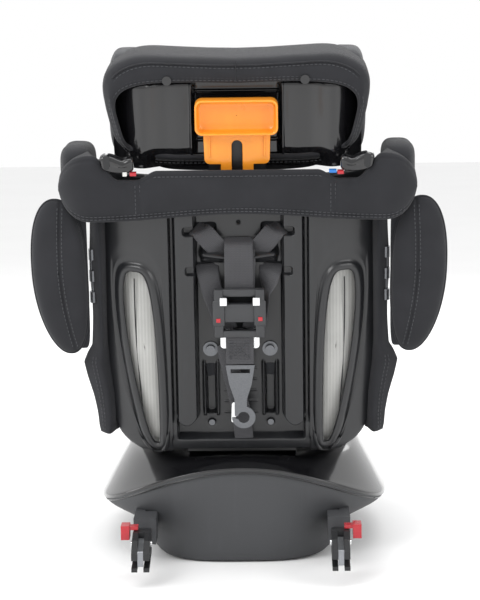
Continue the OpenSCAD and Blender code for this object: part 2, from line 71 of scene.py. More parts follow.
class CARSEAT_colours(bpy.types.PropertyGroup):
    fabric: colour("Fabric", "Charcoal cover fabric", (0.020, 0.0205, 0.0235))
    inner: colour("Inner fabric", "Fabric the child leans on", (0.034, 0.035, 0.039))
    thread: colour("Thread", "Stitching thread", (0.060, 0.062, 0.068))
    shell: colour("Shell", "Moulded backrest shell", (0.0105, 0.011, 0.0125))
    gloss: colour("Gloss black", "Polished black mouldings", (0.006, 0.006, 0.007))
    base: colour("Base", "Matt base moulding", (0.040, 0.0415, 0.045))
    orange: colour("Orange", "Headrest lever", (0.86, 0.27, 0.018))
    red: colour("Red", "Release tabs and buttons", (0.42, 0.008, 0.018))
    webbing: colour("Webbing", "Harness and tether webbing", (0.022, 0.022, 0.025))
    liner: colour("Liner", "Pale insert behind the windows", (0.40, 0.40, 0.385))
    steel: colour("Steel", "Anchor arms and hardware", (0.30, 0.31, 0.33))


class CARSEAT_sizes(bpy.types.PropertyGroup):
    stitch: length("Stitch", "Length of one stitch", 0.0042)
    thread: length("Thread", "Radius of the sewing thread", 0.00055)
    webbing: length("Webbing", "Thickness of the webbing", 0.0020)
    rim: length("Window rim", "Radius of the rolled window rims", 0.0065)
    swell: length("Swell", "Most that a cushion may swell", 0.008)


def colours():
    return bpy.context.scene.carseat_colours


def sizes():
    return bpy.context.scene.carseat_sizes


# ---------- shader maths ----------
class Value:
    """Socket of numbers; its operators add the Math nodes that work an expression out."""

    def __init__(self, finish, socket):
        self.finish = finish
        self.socket = socket

    def _math(self, operation, *terms):
        inputs = {i: t.socket if isinstance(t, Value) else t for i, t in enumerate(terms)}
        return Value(self.finish, self.finish.node("ShaderNodeMath", {"operation": operation}, inputs).outputs[0])

    def __add__(self, other):
        return self._math("ADD", self, other)

    def __radd__(self, other):
        return self._math("ADD", other, self)

    def __sub__(self, other):
        return self._math("SUBTRACT", self, other)

    def __rsub__(self, other):
        return self._math("SUBTRACT", other, self)

    def __mul__(self, other):
        return self._math("MULTIPLY", self, other)

    def __rmul__(self, other):
        return self._math("MULTIPLY", other, self)

    def sin(self):
        return self._math("SINE", self)


class Finish:
    """One material and its nodes."""

    def __init__(self, name, **constants):
        self.material = bpy.data.materials.new(name)
        self.material.use_nodes = True
        self.tree = self.material.node_tree
        self.shader = self.tree.nodes["Principled BSDF"]
        for socket, value in constants.items():
            self.shader.inputs[socket.replace("_", " ")].default_value = value
        self.place = self.node("ShaderNodeTexCoord").outputs["Object"]

    def node(self, kind, settings=None, inputs=None):
        """Add a node, set it up, and fill its sockets with values or links."""
        made = self.tree.nodes.new(kind)
        for key, value in (settings or {}).items():
            if key == "stops":
                ramp = made.color_ramp
                while len(ramp.elements) < len(value):
                    ramp.elements.new(0.5)
                for element, (place, tone) in zip(ramp.elements, value):
                    element.position = place
                    element.color = (tone, tone, tone, 1.0)
            else:
                setattr(made, key, value)
        for key, value in (inputs or {}).items():
            if isinstance(value, Value):
                value = value.socket
            if isinstance(value, bpy.types.NodeSocket):
                self.tree.links.new(value, made.inputs[key])
            else:
                made.inputs[key].default_value = value
        return made

    def noise(self, scale, detail=3.0, stretch=(1, 1, 1), rough=0.5):
        mapped = self.node("ShaderNodeMapping", None, {"Vector": self.place, "Scale": stretch})
        made = self.node("ShaderNodeTexNoise", None, {"Vector": mapped.outputs[0], "Scale": scale,
                                                      "Detail": detail, "Roughness": rough})
        return Value(self, made.outputs["Fac"])

    def cells(self, scale, stretch=(1, 1, 1)):
        mapped = self.node("ShaderNodeMapping", None, {"Vector": self.place, "Scale": stretch})
        made = self.node("ShaderNodeTexVoronoi", {"feature": "F1"}, {"Vector": mapped.outputs[0], "Scale": scale})
        return Value(self, made.outputs["Distance"])

    def axes(self, source=None):
        made = self.node("ShaderNodeSeparateXYZ", None, {0: source or self.place})
        return [Value(self, made.outputs[i]) for i in range(3)]

    def ramp(self, value, stops):
        return Value(self, self.node("ShaderNodeValToRGB", {"stops": stops}, {0: value}).outputs["Color"])

    def tint(self, dark, light, factor):
        """Base colour that goes from dark to light with factor."""
        mix = self.node("ShaderNodeMix", {"data_type": "RGBA", "clamp_factor": True},
                        {0: factor, 6: (*dark, 1.0), 7: (*light, 1.0)})
        self.tree.links.new(mix.outputs[2], self.shader.inputs["Base Color"])

    def feed(self, socket, value):
        self.tree.links.new(value.socket, self.shader.inputs[socket])

    def bump(self, height, strength, distance):
        made = self.node("ShaderNodeBump", None, {"Height": height, "Strength": strength, "Distance": distance})
        self.tree.links.new(made.outputs[0], self.shader.inputs["Normal"])


def shade(tone, factor):
    return tuple(min(1.0, c * factor) for c in tone)


def woven(name, tone, pitch=0.0013, sheen=0.12):
    """Cover fabric: slanted yarns in two directions with a heathered tone."""
    f = Finish(name, Roughness=0.9, Sheen_Weight=sheen, Sheen_Roughness=0.45, Specular_IOR_Level=0.25)
    x, y, z = f.axes()
    turns = 2 * math.pi / pitch
    warp = ((x + 0.8 * y + z) * turns).sin()
    weft = ((x - 0.8 * y - z) * turns).sin()
    yarn = warp * weft * 0.5 + 0.5
    blotch = f.noise(26, 5)
    f.tint(shade(tone, 0.62), shade(tone, 1.5), yarn * 0.45 + blotch * 0.62 - 0.05)
    f.bump(yarn + f.noise(1500, 2) * 0.6 + f.noise(60, 3) * 0.8, 0.42, 0.0006)
    return f.material


def moulded(name, tone, rough, grain=0.25, coat=0.0, scuff=0.2):
    """Moulded plastic: fine spark-eroded grain, faint scuffs and a roughness that wanders."""
    f = Finish(name, Roughness=rough, Coat_Weight=coat, Coat_Roughness=0.08)
    wander = f.noise(14, 4)
    scratch = f.ramp(f.noise(90, 4, (1, 1, 0.06)), [(0.56, 0.0), (0.72, 1.0)])
    f.tint(shade(tone, 0.85), shade(tone, 1.45), wander * 0.6 + scratch * scuff)
    f.feed("Roughness", wander * 0.16 + scratch * 0.12 * scuff + (rough - 0.08))
    f.bump(f.cells(1300) * grain + f.noise(420, 3) * grain * 0.6 + wander * 0.2, 0.22, 0.0005)
    return f.material


def ribbed(name, tone):
    """Webbing: a chevron of ribs along the strap, read from its own UV map in metres."""
    f = Finish(name, Roughness=0.5, Sheen_Weight=0.15, Specular_IOR_Level=0.5)
    u, v, _ = f.axes(f.node("ShaderNodeTexCoord").outputs["UV"])
    chevron = ((u * 1500).sin() * 1.4 + v * 2600).sin() * 0.5 + 0.5
    lines = (u * 3400).sin() * 0.5 + 0.5
    f.tint(shade(tone, 0.6), shade(tone, 2.6), chevron * 0.4 + lines * 0.25 + f.noise(40) * 0.25)
    f.bump(chevron + lines * 0.6, 0.5, 0.0005)
    return f.material


def metal(name, tone, rough, stretch=(1, 1, 1)):
    """Brushed or polished metal."""
    f = Finish(name, Metallic=1.0, Roughness=rough)
    brush = f.noise(500, 3, stretch)
    f.tint(shade(tone, 0.75), shade(tone, 1.2), brush)
    f.feed("Roughness", brush * 0.2 + (rough - 0.08))
    f.bump(brush, 0.12, 0.0003)
    return f.material


def foamed(name, tone):
    """Pale liner: short pile with faint vertical ribs."""
    f = Finish(name, Roughness=0.8, Sheen_Weight=0.2)
    x, y, z = f.axes()
    ribs = (x * 1300).sin() * 0.5 + 0.5
    f.tint(shade(tone, 0.72), shade(tone, 1.2), ribs * 0.3 + f.noise(22, 4) * 0.7)
    f.bump(ribs + f.noise(700, 2), 0.3, 0.0006)
    return f.material


def make_finishes():
    """All materials, by the names the operators ask for."""
    c = colours()
    return {
        "fabric": woven("charcoal_fabric", c.fabric), "inner": woven("inner_fabric", c.inner, 0.0022, 0.2),
        "thread": woven("thread", c.thread, 0.0006), "shell": moulded("shell_plastic", c.shell, 0.34, 0.2, 0.15, 0.5),
        "gloss": moulded("gloss_black", c.gloss, 0.16, 0.05, 0.4, 0.25),
        "base": moulded("base_plastic", c.base, 0.56, 0.6),
        "frame": moulded("frame_plastic", shade(c.base, 0.8), 0.36, 0.2),
        "dark": moulded("dark_plastic", shade(c.shell, 0.9), 0.42),
        "orange": moulded("orange_plastic", c.orange, 0.3, 0.1, 0.2, 0.1),
        "red": moulded("red_plastic", c.red, 0.28, 0.05, 0.3), "rubber": moulded("rubber", (0.02, 0.02, 0.02), 0.8),
        "pale": moulded("pale_plastic", (0.6, 0.6, 0.58), 0.4), "blue": moulded("blue_plastic", (0.02, 0.16, 0.5), 0.3),
        "webbing": ribbed("webbing", c.webbing), "liner": foamed("liner", c.liner),
        "steel": metal("steel", c.steel, 0.34, (1, 0.05, 1)), "chrome": metal("chrome", (0.82, 0.83, 0.84), 0.14),
        "dark_steel": metal("dark_steel", (0.16, 0.165, 0.175), 0.36),
    }


FINISH = {}


# ---------- surfaces ----------
def spow(value, power):
    """Signed power: keeps the sign of value."""
    return np.sign(value) * np.abs(value) ** power


def lean(x, y, s):
    """Backrest millimetres to metres: y and s turn by the lean angle about X, then move to the shell's foot."""
    x, y, s = np.broadcast_arrays(np.asarray(x, float), np.asarray(y, float), np.asarray(s, float))
    c, k = math.cos(LEAN), math.sin(LEAN)
    return np.stack([x, LEAN_Y + y * c - s * k, LEAN_Z + y * k + s * c], axis=-1) * MM


def plain(x, y, z):
    """Upright millimetres to metres."""
    return np.stack(np.broadcast_arrays(*(np.asarray(v, float) for v in (x, y, z))), axis=-1) * MM


def step(value, low, high):
    """Smooth step: 0 below low, 1 above high, a cubic between."""
    t = np.clip((value - low) / (high - low), 0.0, 1.0)
    return t * t * (3 - 2 * t)


def bell(value, centre, width):
    """Gaussian bell of height 1."""
    return np.exp(-((value - centre) / width) ** 2)


def waves(p, scale, seed):
    """Smooth, repeatable unevenness: a sum of six slanted sines over a point's place."""
    total = np.zeros(p.shape[:-1])
    for k in range(6):
        way = np.array([math.sin(seed + 2.1 * k), math.cos(1.7 * seed + k), math.sin(0.6 * seed + 3.3 * k)])
        total += np.sin(p @ way * scale * (1 + 0.35 * k) + seed * k)
    return total / 6


def add_mesh(name, verts, faces, finish, body, node=None, uv=None, fix=True):
    """New piece: mesh from arrays, normals turned outwards, with its finish and the body it rides on."""
    mesh = bpy.data.meshes.new(name)
    mesh.from_pydata(verts.reshape(-1, 3).tolist(), [], faces.tolist())
    if uv is not None:
        layer = mesh.uv_layers.new(name="UVMap")
        corner = np.empty(len(mesh.loops), dtype=np.int32)
        mesh.loops.foreach_get("vertex_index", corner)
        layer.data.foreach_set("uv", uv.reshape(-1, 2)[corner].ravel())
    mesh.validate()
    if fix:
        work = bmesh.new()
        work.from_mesh(mesh)
        bmesh.ops.remove_doubles(work, verts=work.verts, dist=1e-6)
        bmesh.ops.recalc_face_normals(work, faces=work.faces)
        work.to_mesh(mesh)
        work.free()
    mesh.polygons.foreach_set("use_smooth", np.ones(len(mesh.polygons), dtype=bool))
    made = bpy.data.objects.new(name, mesh)
    bpy.context.collection.objects.link(made)
    mesh.materials.append(FINISH[finish])
    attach(made, body)
    if node:
        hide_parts(*([node] if isinstance(node, str) else node))
    return made


def quads(rows, cols, wrap_rows=False, wrap_cols=False):
    """Corner numbers of the quads of a grid; a wrapped way joins its last line to its first."""
    index = np.arange(rows * cols).reshape(rows, cols)
    if wrap_rows:
        index = np.vstack([index, index[:1]])
    if wrap_cols:
        index = np.hstack([index, index[:, :1]])
    return np.stack([index[:-1, :-1], index[:-1, 1:], index[1:, 1:], index[1:, :-1]], axis=-1).reshape(-1, 4)


def grid(name, points, finish, body, node=None, wrap_rows=False, wrap_cols=False, uv=None, fix=True):
    """Piece from a rows x columns grid of points in metres."""
    return add_mesh(name, points, quads(*points.shape[:2], wrap_rows, wrap_cols), finish, body, node, uv, fix)


def solidify(piece, thickness, offset=-1.0):
    made = piece.modifiers.new("Wall", "SOLIDIFY")
    made.thickness = thickness
    made.offset = offset
    return piece


def smooth(piece, levels=1):
    made = piece.modifiers.new("Smooth", "SUBSURF")
    made.levels = made.render_levels = levels
    return piece


def bevel(piece, width, segments=2):
    made = piece.modifiers.new("Bevel", "BEVEL")
    made.width = width
    made.segments = segments
    made.limit_method = "ANGLE"
    return piece


def ring(half_w, y0, y1, n, z, count=96):
    """Superellipse in plan: x is half_w cos^(2/n), y runs from y0 to y1 as sin^(2/n)."""
    a = np.linspace(0, 2 * np.pi, count, endpoint=False)
    return plain(half_w * spow(np.cos(a), 2 / n), (y0 + y1) / 2 + (y1 - y0) / 2 * spow(np.sin(a), 2 / n), z)


def pillow(name, low, high, finish, body, node=None, place=lean, corner=0.42, crown=0.0, counts=(56, 96), crease=None,
           wrinkle=0.8, soft=True):
    """Closed padded form: a superellipsoid that fills the box low to high, with corners of roundness corner.

    crown lifts its middle along y (lean) or z (plain), and crease(x, y, z) moves it."""
    low, high = np.asarray(low, float), np.asarray(high, float)
    phi = np.linspace(-np.pi / 2, np.pi / 2, counts[0])[:, None]
    theta = np.linspace(0, 2 * np.pi, counts[1], endpoint=False)[None, :]
    ex = spow(np.cos(phi), corner) * spow(np.cos(theta), corner)
    ey = spow(np.cos(phi), corner) * spow(np.sin(theta), corner)
    ez = spow(np.sin(phi), corner) + 0 * theta
    half, middle = (high - low) / 2, (high + low) / 2
    x, y, z = (middle[i] + half[i] * e for i, e in enumerate((ex, ey, ez)))
    if place is lean:
        y = y + crown * (ey > 0) * (1 - ex ** 2) * (1 - ez ** 2)
    else:
        z = z + crown * (ez > 0) * (1 - ex ** 2) * (1 - ey ** 2)
    if crease:
        x, y, z = crease(x, y, z)
    points = place(x, y, z)
    centre = points.reshape(-1, 3).mean(axis=0)
    way = points - centre
    way /= np.linalg.norm(way, axis=-1, keepdims=True) + 1e-9
    points = points + way * (waves(points, 42.0, 1.3 + middle[2] * 0.01) * wrinkle * MM)[..., None]
    piece = grid(name, points, finish, body, node, wrap_cols=True)
    return piece


def curve_points(points, count):
    """Smooth path through given points: a Catmull-Rom spline at count even steps."""
    p = np.asarray(points, float)
    p = np.vstack([2 * p[0] - p[1], p, 2 * p[-1] - p[-2]])
    t = np.linspace(0, len(points) - 1 - 1e-9, count)
    i = t.astype(int)
    f = (t - i)[:, None]
    a, b, c, d = p[i], p[i + 1], p[i + 2], p[i + 3]
    return 0.5 * (2 * b + (c - a) * f + (2 * a - 5 * b + 4 * c - d) * f ** 2 + (3 * b - a - 3 * c + d) * f ** 3)


def ribbon(name, points, width, finish, body, node=None, place=lean, count=80, thick=None, twist=None, pinch=0.0):
    """Strap: a flat rounded section carried along a path; its width lies along X, turned by twist degrees."""
    thick = thick or sizes().webbing / MM
    path = curve_points(points, count)
    tangent = np.gradient(path, axis=0)
    tangent /= np.linalg.norm(tangent, axis=1, keepdims=True)
    across = np.tile([1.0, 0.0, 0.0], (count, 1))
    across -= tangent * (across * tangent).sum(axis=1, keepdims=True)
    across /= np.linalg.norm(across, axis=1, keepdims=True)
    out = np.cross(tangent, across)
    if twist is not None:
        angle = np.radians(np.interp(np.linspace(0, 1, count), np.linspace(0, 1, len(twist)), twist))[:, None]
        across, out = across * np.cos(angle) + out * np.sin(angle), out * np.cos(angle) - across * np.sin(angle)
    a = np.linspace(0, 2 * np.pi, 20, endpoint=False)
    u, v = spow(np.cos(a), 0.5) * width / 2, spow(np.sin(a), 0.6) * thick / 2
    u = u[None, :] * (1 - pinch * np.sin(np.linspace(0, np.pi, count))[:, None])
    section = path[:, None] + across[:, None] * u[..., None] + out[:, None] * v[None, :, None]
    run = np.concatenate([[0], np.cumsum(np.linalg.norm(np.diff(path, axis=0), axis=1))])
    uv = np.stack([np.broadcast_to(u, section.shape[:2]), np.broadcast_to(run[:, None], section.shape[:2])], -1) * MM
    points = place(section[..., 0], section[..., 1], section[..., 2])
    caps = np.arange(20)
    faces = quads(count, 20, wrap_cols=True).tolist() + [caps[::-1].tolist(), (caps + (count - 1) * 20).tolist()]
    mesh = add_mesh(name, points, np.array(faces, dtype=object), finish, body, node, uv, fix=False)
    return mesh


def tube(name, path, radius, finish, body, closed=False, sides=8):
    """Round section of the given radius carried along a path in metres."""
    step_by = np.roll(path, -1, 0) - np.roll(path, 1, 0)
    if not closed:
        step_by = np.gradient(path, axis=0)
    tangent = step_by / (np.linalg.norm(step_by, axis=1, keepdims=True) + 1e-12)
    helper = np.where(np.abs(tangent[:, 1:2]) > 0.9, [[1.0, 0, 0]], [[0, 1.0, 0]])
    side = np.cross(tangent, helper)
    side /= np.linalg.norm(side, axis=1, keepdims=True)
    up = np.cross(side, tangent)
    a = np.linspace(0, 2 * np.pi, sides, endpoint=False)
    spoke = side[:, None] * np.cos(a)[None, :, None] + up[:, None] * np.sin(a)[None, :, None]
    points = path[:, None] + radius * spoke
    return grid(name, points, finish, body, wrap_rows=closed, wrap_cols=True, fix=False)


def stitches(name, paths, body, finish="thread"):
    """Rows of stitches: each is a short rounded bar along its path, centred on the path."""
    pitch = sizes().stitch * 1.45
    half, r = sizes().stitch / 2, sizes().thread
    corner = np.array([[e, a, b] for e in (-1, -0.6, 0.6, 1) for a, b in ((1, 0), (0, 1), (-1, 0), (0, -1))], float)
    swell = np.repeat([0.3, 1, 1, 0.3], 4)
    verts, faces = [], []
    box = quads(4, 4, wrap_cols=True)
    total = 0
    for path in paths:
        run = np.concatenate([[0], np.cumsum(np.linalg.norm(np.diff(path, axis=0), axis=1))])
        at = np.arange(pitch / 2, run[-1], pitch)
        if not len(at):
            continue
        here = np.stack([np.interp(at, run, path[:, k]) for k in range(3)], -1)
        ahead = np.stack([np.interp(at + half, run, path[:, k]) for k in range(3)], -1)
        way = ahead - np.stack([np.interp(at - half, run, path[:, k]) for k in range(3)], -1)
        way /= np.linalg.norm(way, axis=1, keepdims=True) + 1e-12
        side = np.cross(way, [0.0, 1.0, 0.02])
        side /= np.linalg.norm(side, axis=1, keepdims=True) + 1e-12
        up = np.cross(side, way)
        made = (here[:, None] + way[:, None] * (corner[:, 0] * half)[None, :, None]
                + side[:, None] * (corner[:, 1] * swell * r)[None, :, None]
                + up[:, None] * (corner[:, 2] * swell * r)[None, :, None])
        verts.append(made.reshape(-1, 3))
        faces.append((box[None] + (np.arange(len(at)) * 16)[:, None, None] + total).reshape(-1, 4))
        total += len(at) * 16
    return add_mesh(name, np.vstack(verts), np.vstack(faces), finish, body, fix=False)


def prism(name, outline, y0, y1, finish, body, node=None, place=lean, edge=0.8):
    """Plate: an outline in x and s pulled from y0 to y1, with its edges bevelled."""
    outline = np.asarray(outline, float)
    n = len(outline)
    points = np.concatenate([place(outline[:, 0], y, outline[:, 1]) for y in (y0, y1)])
    faces = quads(2, n, wrap_cols=True).tolist() + [list(range(n)), list(range(2 * n - 1, n - 1, -1))]
    return bevel(add_mesh(name, points, np.array(faces, dtype=object), finish, body, node), edge * MM)


def boxes(name, corners, finish, body, node=None, place=lean, edge=1.0):
    """Several bevelled blocks in one piece, each given by its low and high corners."""
    unit = np.array([[i, j, k] for i in (0, 1) for j in (0, 1) for k in (0, 1)], float)
    sides = np.array([[0, 1, 3, 2], [4, 6, 7, 5], [0, 4, 5, 1], [2, 3, 7, 6], [0, 2, 6, 4], [1, 5, 7, 3]])
    verts = np.concatenate([np.asarray(lo) + unit * (np.asarray(hi) - np.asarray(lo)) for lo, hi in corners])
    faces = np.concatenate([sides + 8 * i for i in range(len(corners))])
    points = place(verts[:, 0], verts[:, 1], verts[:, 2])
    return bevel(add_mesh(name, points, faces, finish, body, node), edge * MM)


def rounded(width, height, radius, x, s, count=8):
    """Rounded rectangle's outline about x and s, anticlockwise, with count points to a corner."""
    a = np.linspace(0, np.pi / 2, count)
    turn = np.concatenate([a, a + np.pi / 2, a + np.pi, a + 1.5 * np.pi])
    sx = np.repeat([1, -1, -1, 1], count) * (width / 2 - radius)
    ss = np.repeat([1, 1, -1, -1], count) * (height / 2 - radius)
    return np.stack([x + sx + radius * np.cos(turn), s + ss + radius * np.sin(turn)], axis=-1)


# ---------- pieces of the base ----------
def edge_height(count, low=74.0, back=141.0, front=100.0):
    """Height of the base's upper edge round its plan: highest in the middle of the back, lowest at the side tips."""
    a = np.linspace(0, 2 * np.pi, count, endpoint=False)
    x = np.abs(spow(np.cos(a), 2 / 3.2))
    rear = low + (back - low) * np.maximum(1 - x * x, 0) ** 1.1
    return np.where(np.sin(a) < 0, rear, low + (front - low) * (1 - x * x))


def make_base():
    """Tub of the base: plan rings of superellipses from the floor to the flared upper edge, closed underneath."""
    edge = edge_height(96)
    levels = [(40, -60, 40, 2.6, 0), (128, -249, 204, 3.4, 0), (134, -254, 210, 3.4, 1.5), (138, -257, 213, 3.4, 7),
              (148, -261, 220, 3.2, 18), (155, -264, 226, 3.2, 34), (160, -265.5, 231, 3.1, 44),
              (171, -267, 236, 3, 50 + 0.10 * (edge - 74)), (188, -267.6, 240, 3, 56 + 0.24 * (edge - 74)),
              (205, -267.8, 243, 3.1, 62 + 0.46 * (edge - 74)), (214, -267, 245, 3.2, 68 + 0.74 * (edge - 74)),
              (217, -265, 246, 3.2, edge - 1.5), (215.5, -263.5, 244.5, 3.2, edge), (212, -260, 241, 3.2, edge - 3)]
    points = np.stack([ring(*level) for level in levels])
    smooth(grid("base_tub", points, "base", "base", "base_shell", wrap_cols=True), 1)
    a = np.linspace(np.pi * 1.12, np.pi * 1.88, 90)
    lip = plain(214.4 * spow(np.cos(a), 2 / 3.2), -10 - 257.4 * spow(-np.sin(a), 2 / 3.2),
                np.interp(a, np.linspace(0, 2 * np.pi, 97), np.append(edge, edge[0])) - 5.5)
    tube("base_edge_bead", lip, 1.1 * MM, "gloss", "base")


def make_cover():
    """Polished lid: rings that rise from the base's edge over the crown to the hole of the turntable."""
    edge = edge_height(96)
    rim, hole = ring(217, -265, 246, 3.2, edge), ring(126, -126, 126, 2, 150)
    crest = ring(166, -205, 196, 2.4, 148.5)
    rise = np.array([0, 0, MM])
    rows = [rim - 3 * rise, rim, rim + 1.5 * rise]
    rows += [rim * (1 - t) + crest * t + rise * (5 * math.sin(math.pi * t * 0.8) + 1) for t in (0.06, 0.2, 0.4, 0.6, 0.8)]
    rows += [crest, crest * 0.5 + hole * 0.5 + rise * 0.6, hole, hole - 3 * rise]
    piece = grid("base_lid", np.stack(rows), "gloss", "base", "base_cover", wrap_cols=True)
    smooth(piece, 1)


# ---------- backrest shell ----------
OUTLINE_S = [6, 10, 16, 26, 42, 88, 170, 260, 428]
OUTLINE_X = [137, 149, 161, 172, 183, 192, 200, 206, 206]


def shell_half_width(s):
    """Half width of the shell at height s, rounded by averaging over a short stretch."""
    return np.mean([np.interp(s + d, OUTLINE_S, OUTLINE_X) for d in np.linspace(-9, 9, 7)], axis=0)


def shell_depth(x, s):
    """Depth of the shell's outer face: an arc of 155 mm about x = 88 outside the pillars, rolled in at its foot."""
    side = np.maximum(np.abs(x) - 88, 0)
    arc = 158 - np.sqrt(np.maximum(155 ** 2 - np.minimum(side, 140) ** 2, 0))
    belly = -5.0 * bell(s, 190, 120) * step(np.abs(x), 95, 130)
    return arc + belly + 16 * np.maximum(1 - s / 40, 0) ** 2


def window_outline(count, grow=0.0):
    """Arched window: a wide round head over a long side that curves in to a narrow foot, as x and s arrays."""
    t = np.linspace(0, 2 * np.pi, count, endpoint=False)
    s = 152 + (130 + grow) * np.sin(t)
    up = (s - 22) / 260
    half = (8 + 17 * np.clip(up, 0, 1) ** 0.7 + grow) * spow(np.cos(t), 0.55)
    centre = 123 + 27 * np.clip(up, 0, 1) ** 0.75
    return centre + half, s


def ray_edge(x, s, cx, cs):
    """Where the ray from (cx, cs) through (x, s) meets the panel: pillar groove, outer edge, top or foot."""
    dx, ds = x - cx, s - cs
    reach = np.full(x.shape, 1e9)
    for limit, a, b in ((101.0, dx, cx), (428.0, ds, cs), (7.0, ds, cs)):
        t = (limit - b) / np.where(np.abs(a) < 1e-9, 1e-9, a)
        reach = np.where(t > 0, np.minimum(reach, t), reach)
    share = np.linspace(0, 1, 500)[:, None]
    outside = cx + dx * reach * share > shell_half_width(cs + ds * reach * share)
    first = np.where(outside.any(axis=0), outside.argmax(axis=0), len(share) - 1)
    reach = reach * share[first, 0]
    return cx + dx * reach, cs + ds * reach


def make_window_panel(side):
    """Outer panel round one window: rows go from inside the rolled rim, over it and out to the panel's edges."""
    count = 288
    wx, ws = window_outline(count)
    cx, cs = 140.0, 175.0
    ox, os_ = ray_edge(wx, ws, cx, cs)
    nx, ns = wx - np.roll(wx, 1), ws - np.roll(ws, 1)
    size = np.hypot(nx, ns) + 1e-9
    nx, ns = ns / size, -nx / size
    r = sizes().rim / MM
    rows = []
    for deg in (-40, 0, 35, 70, 105, 140, 175):
        a = math.radians(deg)
        off, rise = r - r * math.cos(a), r * math.sin(a)
        x, s = wx + nx * off, ws + ns * off
        rows.append(lean(side * x, shell_depth(x, s) + 3.5 - rise, s))
    for t in np.linspace(0, 1, 26)[1:] ** 1.15:
        x = (wx + nx * 2.1 * r) * (1 - t) + ox * t
        s = (ws + ns * 2.1 * r) * (1 - t) + os_ * t
        dip = 1.6 * bell(t, 0.10, 0.07)
        rows.append(lean(side * x, shell_depth(x, s) + 3.5 * (1 - step(np.array(t), 0, 0.08)) + dip, s))
    name = "shell_panel_left" if side < 0 else "shell_panel_right"
    piece = grid(name, np.stack(rows), "shell", "seat", "back_shell", wrap_cols=True, fix=False)
    turn_outwards(piece, Vector((0, -1, 0)))
    solidify(piece, 3 * MM)
    return piece


def turn_outwards(piece, way):
    """Flip an open sheet's faces if they look away from way on average."""
    total = sum((p.normal * p.area for p in piece.data.polygons), Vector())
    if total.dot(way) < 0:
        piece.data.flip_normals()


def slot_pit(x, s, cx, cs, half_x, half_s, soft=1.2):
    """Mask of 1 inside a rounded slot about (cx, cs)."""
    dx = np.maximum(np.abs(x - cx) - half_x + 4, 0)
    ds = np.maximum(np.abs(s - cs) - half_s + 4, 0)
    return 1 - step(np.hypot(dx, ds), 4 - soft, 4 + soft)


def make_shell_middle():
    """Middle of the shell as one depth map: recess, pillars, grooves, slots, bosses and ribs."""
    x = np.linspace(-101, 101, 231)[None, :]
    s = np.linspace(12, 428, 417)[:, None]
    x, s = np.broadcast_arrays(x, s)
    ax = np.abs(x)
    depth = 25.5 - 0 * x
    foot = 1 - step(s, 26, 34)
    upper = step(s, 292, 298) * (1 - step(s, 324, 332))
    depth -= upper * 6 * (1 - step(ax, 50, 56))
    depth -= 9 * step(s, 362, 368) * step(ax, 42, 46) * (1 - step(ax, 54, 60))
    rail = (1 - step(ax, 13, 17)) * step(s, 312, 318) * (1 - step(s, 324, 332))
    depth -= rail * 7
    depth -= 0.5 * bell(np.hypot(x, s - 352), 0, 7)
    depth += 5 * bell(np.hypot(x, s - 352), 0, 2.4)
    crossbar = bell(s - 300 - 0.14 * ax, 0, 5) * (1 - step(ax, 52, 58))
    depth -= 9 * crossbar
    pillar_foot = 44 + 0.05 * (ax - 79) ** 2
    pillar = step(ax, 59.5, 65) * (1 - step(ax, 90, 93.5)) * step(s, pillar_foot, pillar_foot + 8)
    depth = depth * (1 - pillar) + pillar * (0.2 + 0.006 * (ax - 78) ** 2)
    groove = step(ax, 92, 93.5) * (1 - step(ax, 98, 101)) * step(s, 52, 72)
    outer = step(ax, 91, 93.5)
    depth = depth * (1 - outer) + outer * (shell_depth(x, s) + 3 + 10 * groove)
    edge = step(ax, 97.5, 101)
    depth = depth * (1 - edge) + edge * shell_depth(x, s)
    depth = depth * (1 - foot) + foot * (shell_depth(x, s) * 0.6 + 5)
    frame_band = (bell(ax, 33.5, 1.8) + bell(ax, 52.5, 1.8)) * step(s, 58, 62) * (1 - step(s, 140, 146))
    depth -= 3.5 * frame_band
    for cx in (-43, 43):
        depth += 14 * slot_pit(x, s, cx, 100, 6.5, 38)
        depth += 3 * bell(np.hypot(x - cx, s - 48), 0, 5)
    for cx in (-56, 56):
        depth += 16 * slot_pit(x, s, cx, 345, 23, 6)
        depth += 10 * slot_pit(x, s, cx, 286, 20, 6)
    for k in range(5):
        depth -= 1.3 * bell(s, 64 + 17 * k, 1.4) * (1 - step(ax, 22, 26))
    piece = grid("shell_middle", lean(x, depth, s), "shell", "seat", "back_shell", fix=False)
    turn_outwards(piece, Vector((0, -1, 0)))
    solidify(piece, 2.5 * MM)


def make_liners():
    """Pale inserts behind the windows, bowed out between the rims, with a seam down the outer one."""
    for side in SIDES:
        wx, ws = window_outline(96, 5)
        rows = []
        for t in np.linspace(0.02, 1, 16):
            x, s = 138 + (wx - 138) * t, 168 + (ws - 168) * t
            rows.append(lean(side * x, shell_depth(x, s) + 15 - 5 * (1 - t * t) + 2 * np.sin(s / 30), s))
        name = "window_liner_left" if side < 0 else "window_liner_right"
        piece = grid(name, np.stack(rows), "liner", "seat", "window_liners", wrap_cols=True, fix=False)
        turn_outwards(piece, Vector((0, -1, 0)))
        solidify(piece, 2 * MM)
        s = np.linspace(60, 270, 60)
        x = 143 + 8 * np.sin((s - 60) / 210 * np.pi * 0.6)
        tube(f"{name}_seam", lean(side * x, shell_depth(x, s) + 10.2, s), 0.9 * MM, "dark", "seat")
    # the shell's own ends close off each window behind the liner
    for side in SIDES:
        wx, ws = window_outline(64, 14)
        rows = [lean(side * (138 + (wx - 138) * t), shell_depth(wx, ws) * 0.5 + 34, 168 + (ws - 168) * t)
                for t in (0.02, 0.5, 1)]
        name = "window_backing_left" if side < 0 else "window_backing_right"
        solidify(grid(name, np.stack(rows), "dark", "seat", wrap_cols=True, fix=False), 1.5 * MM)


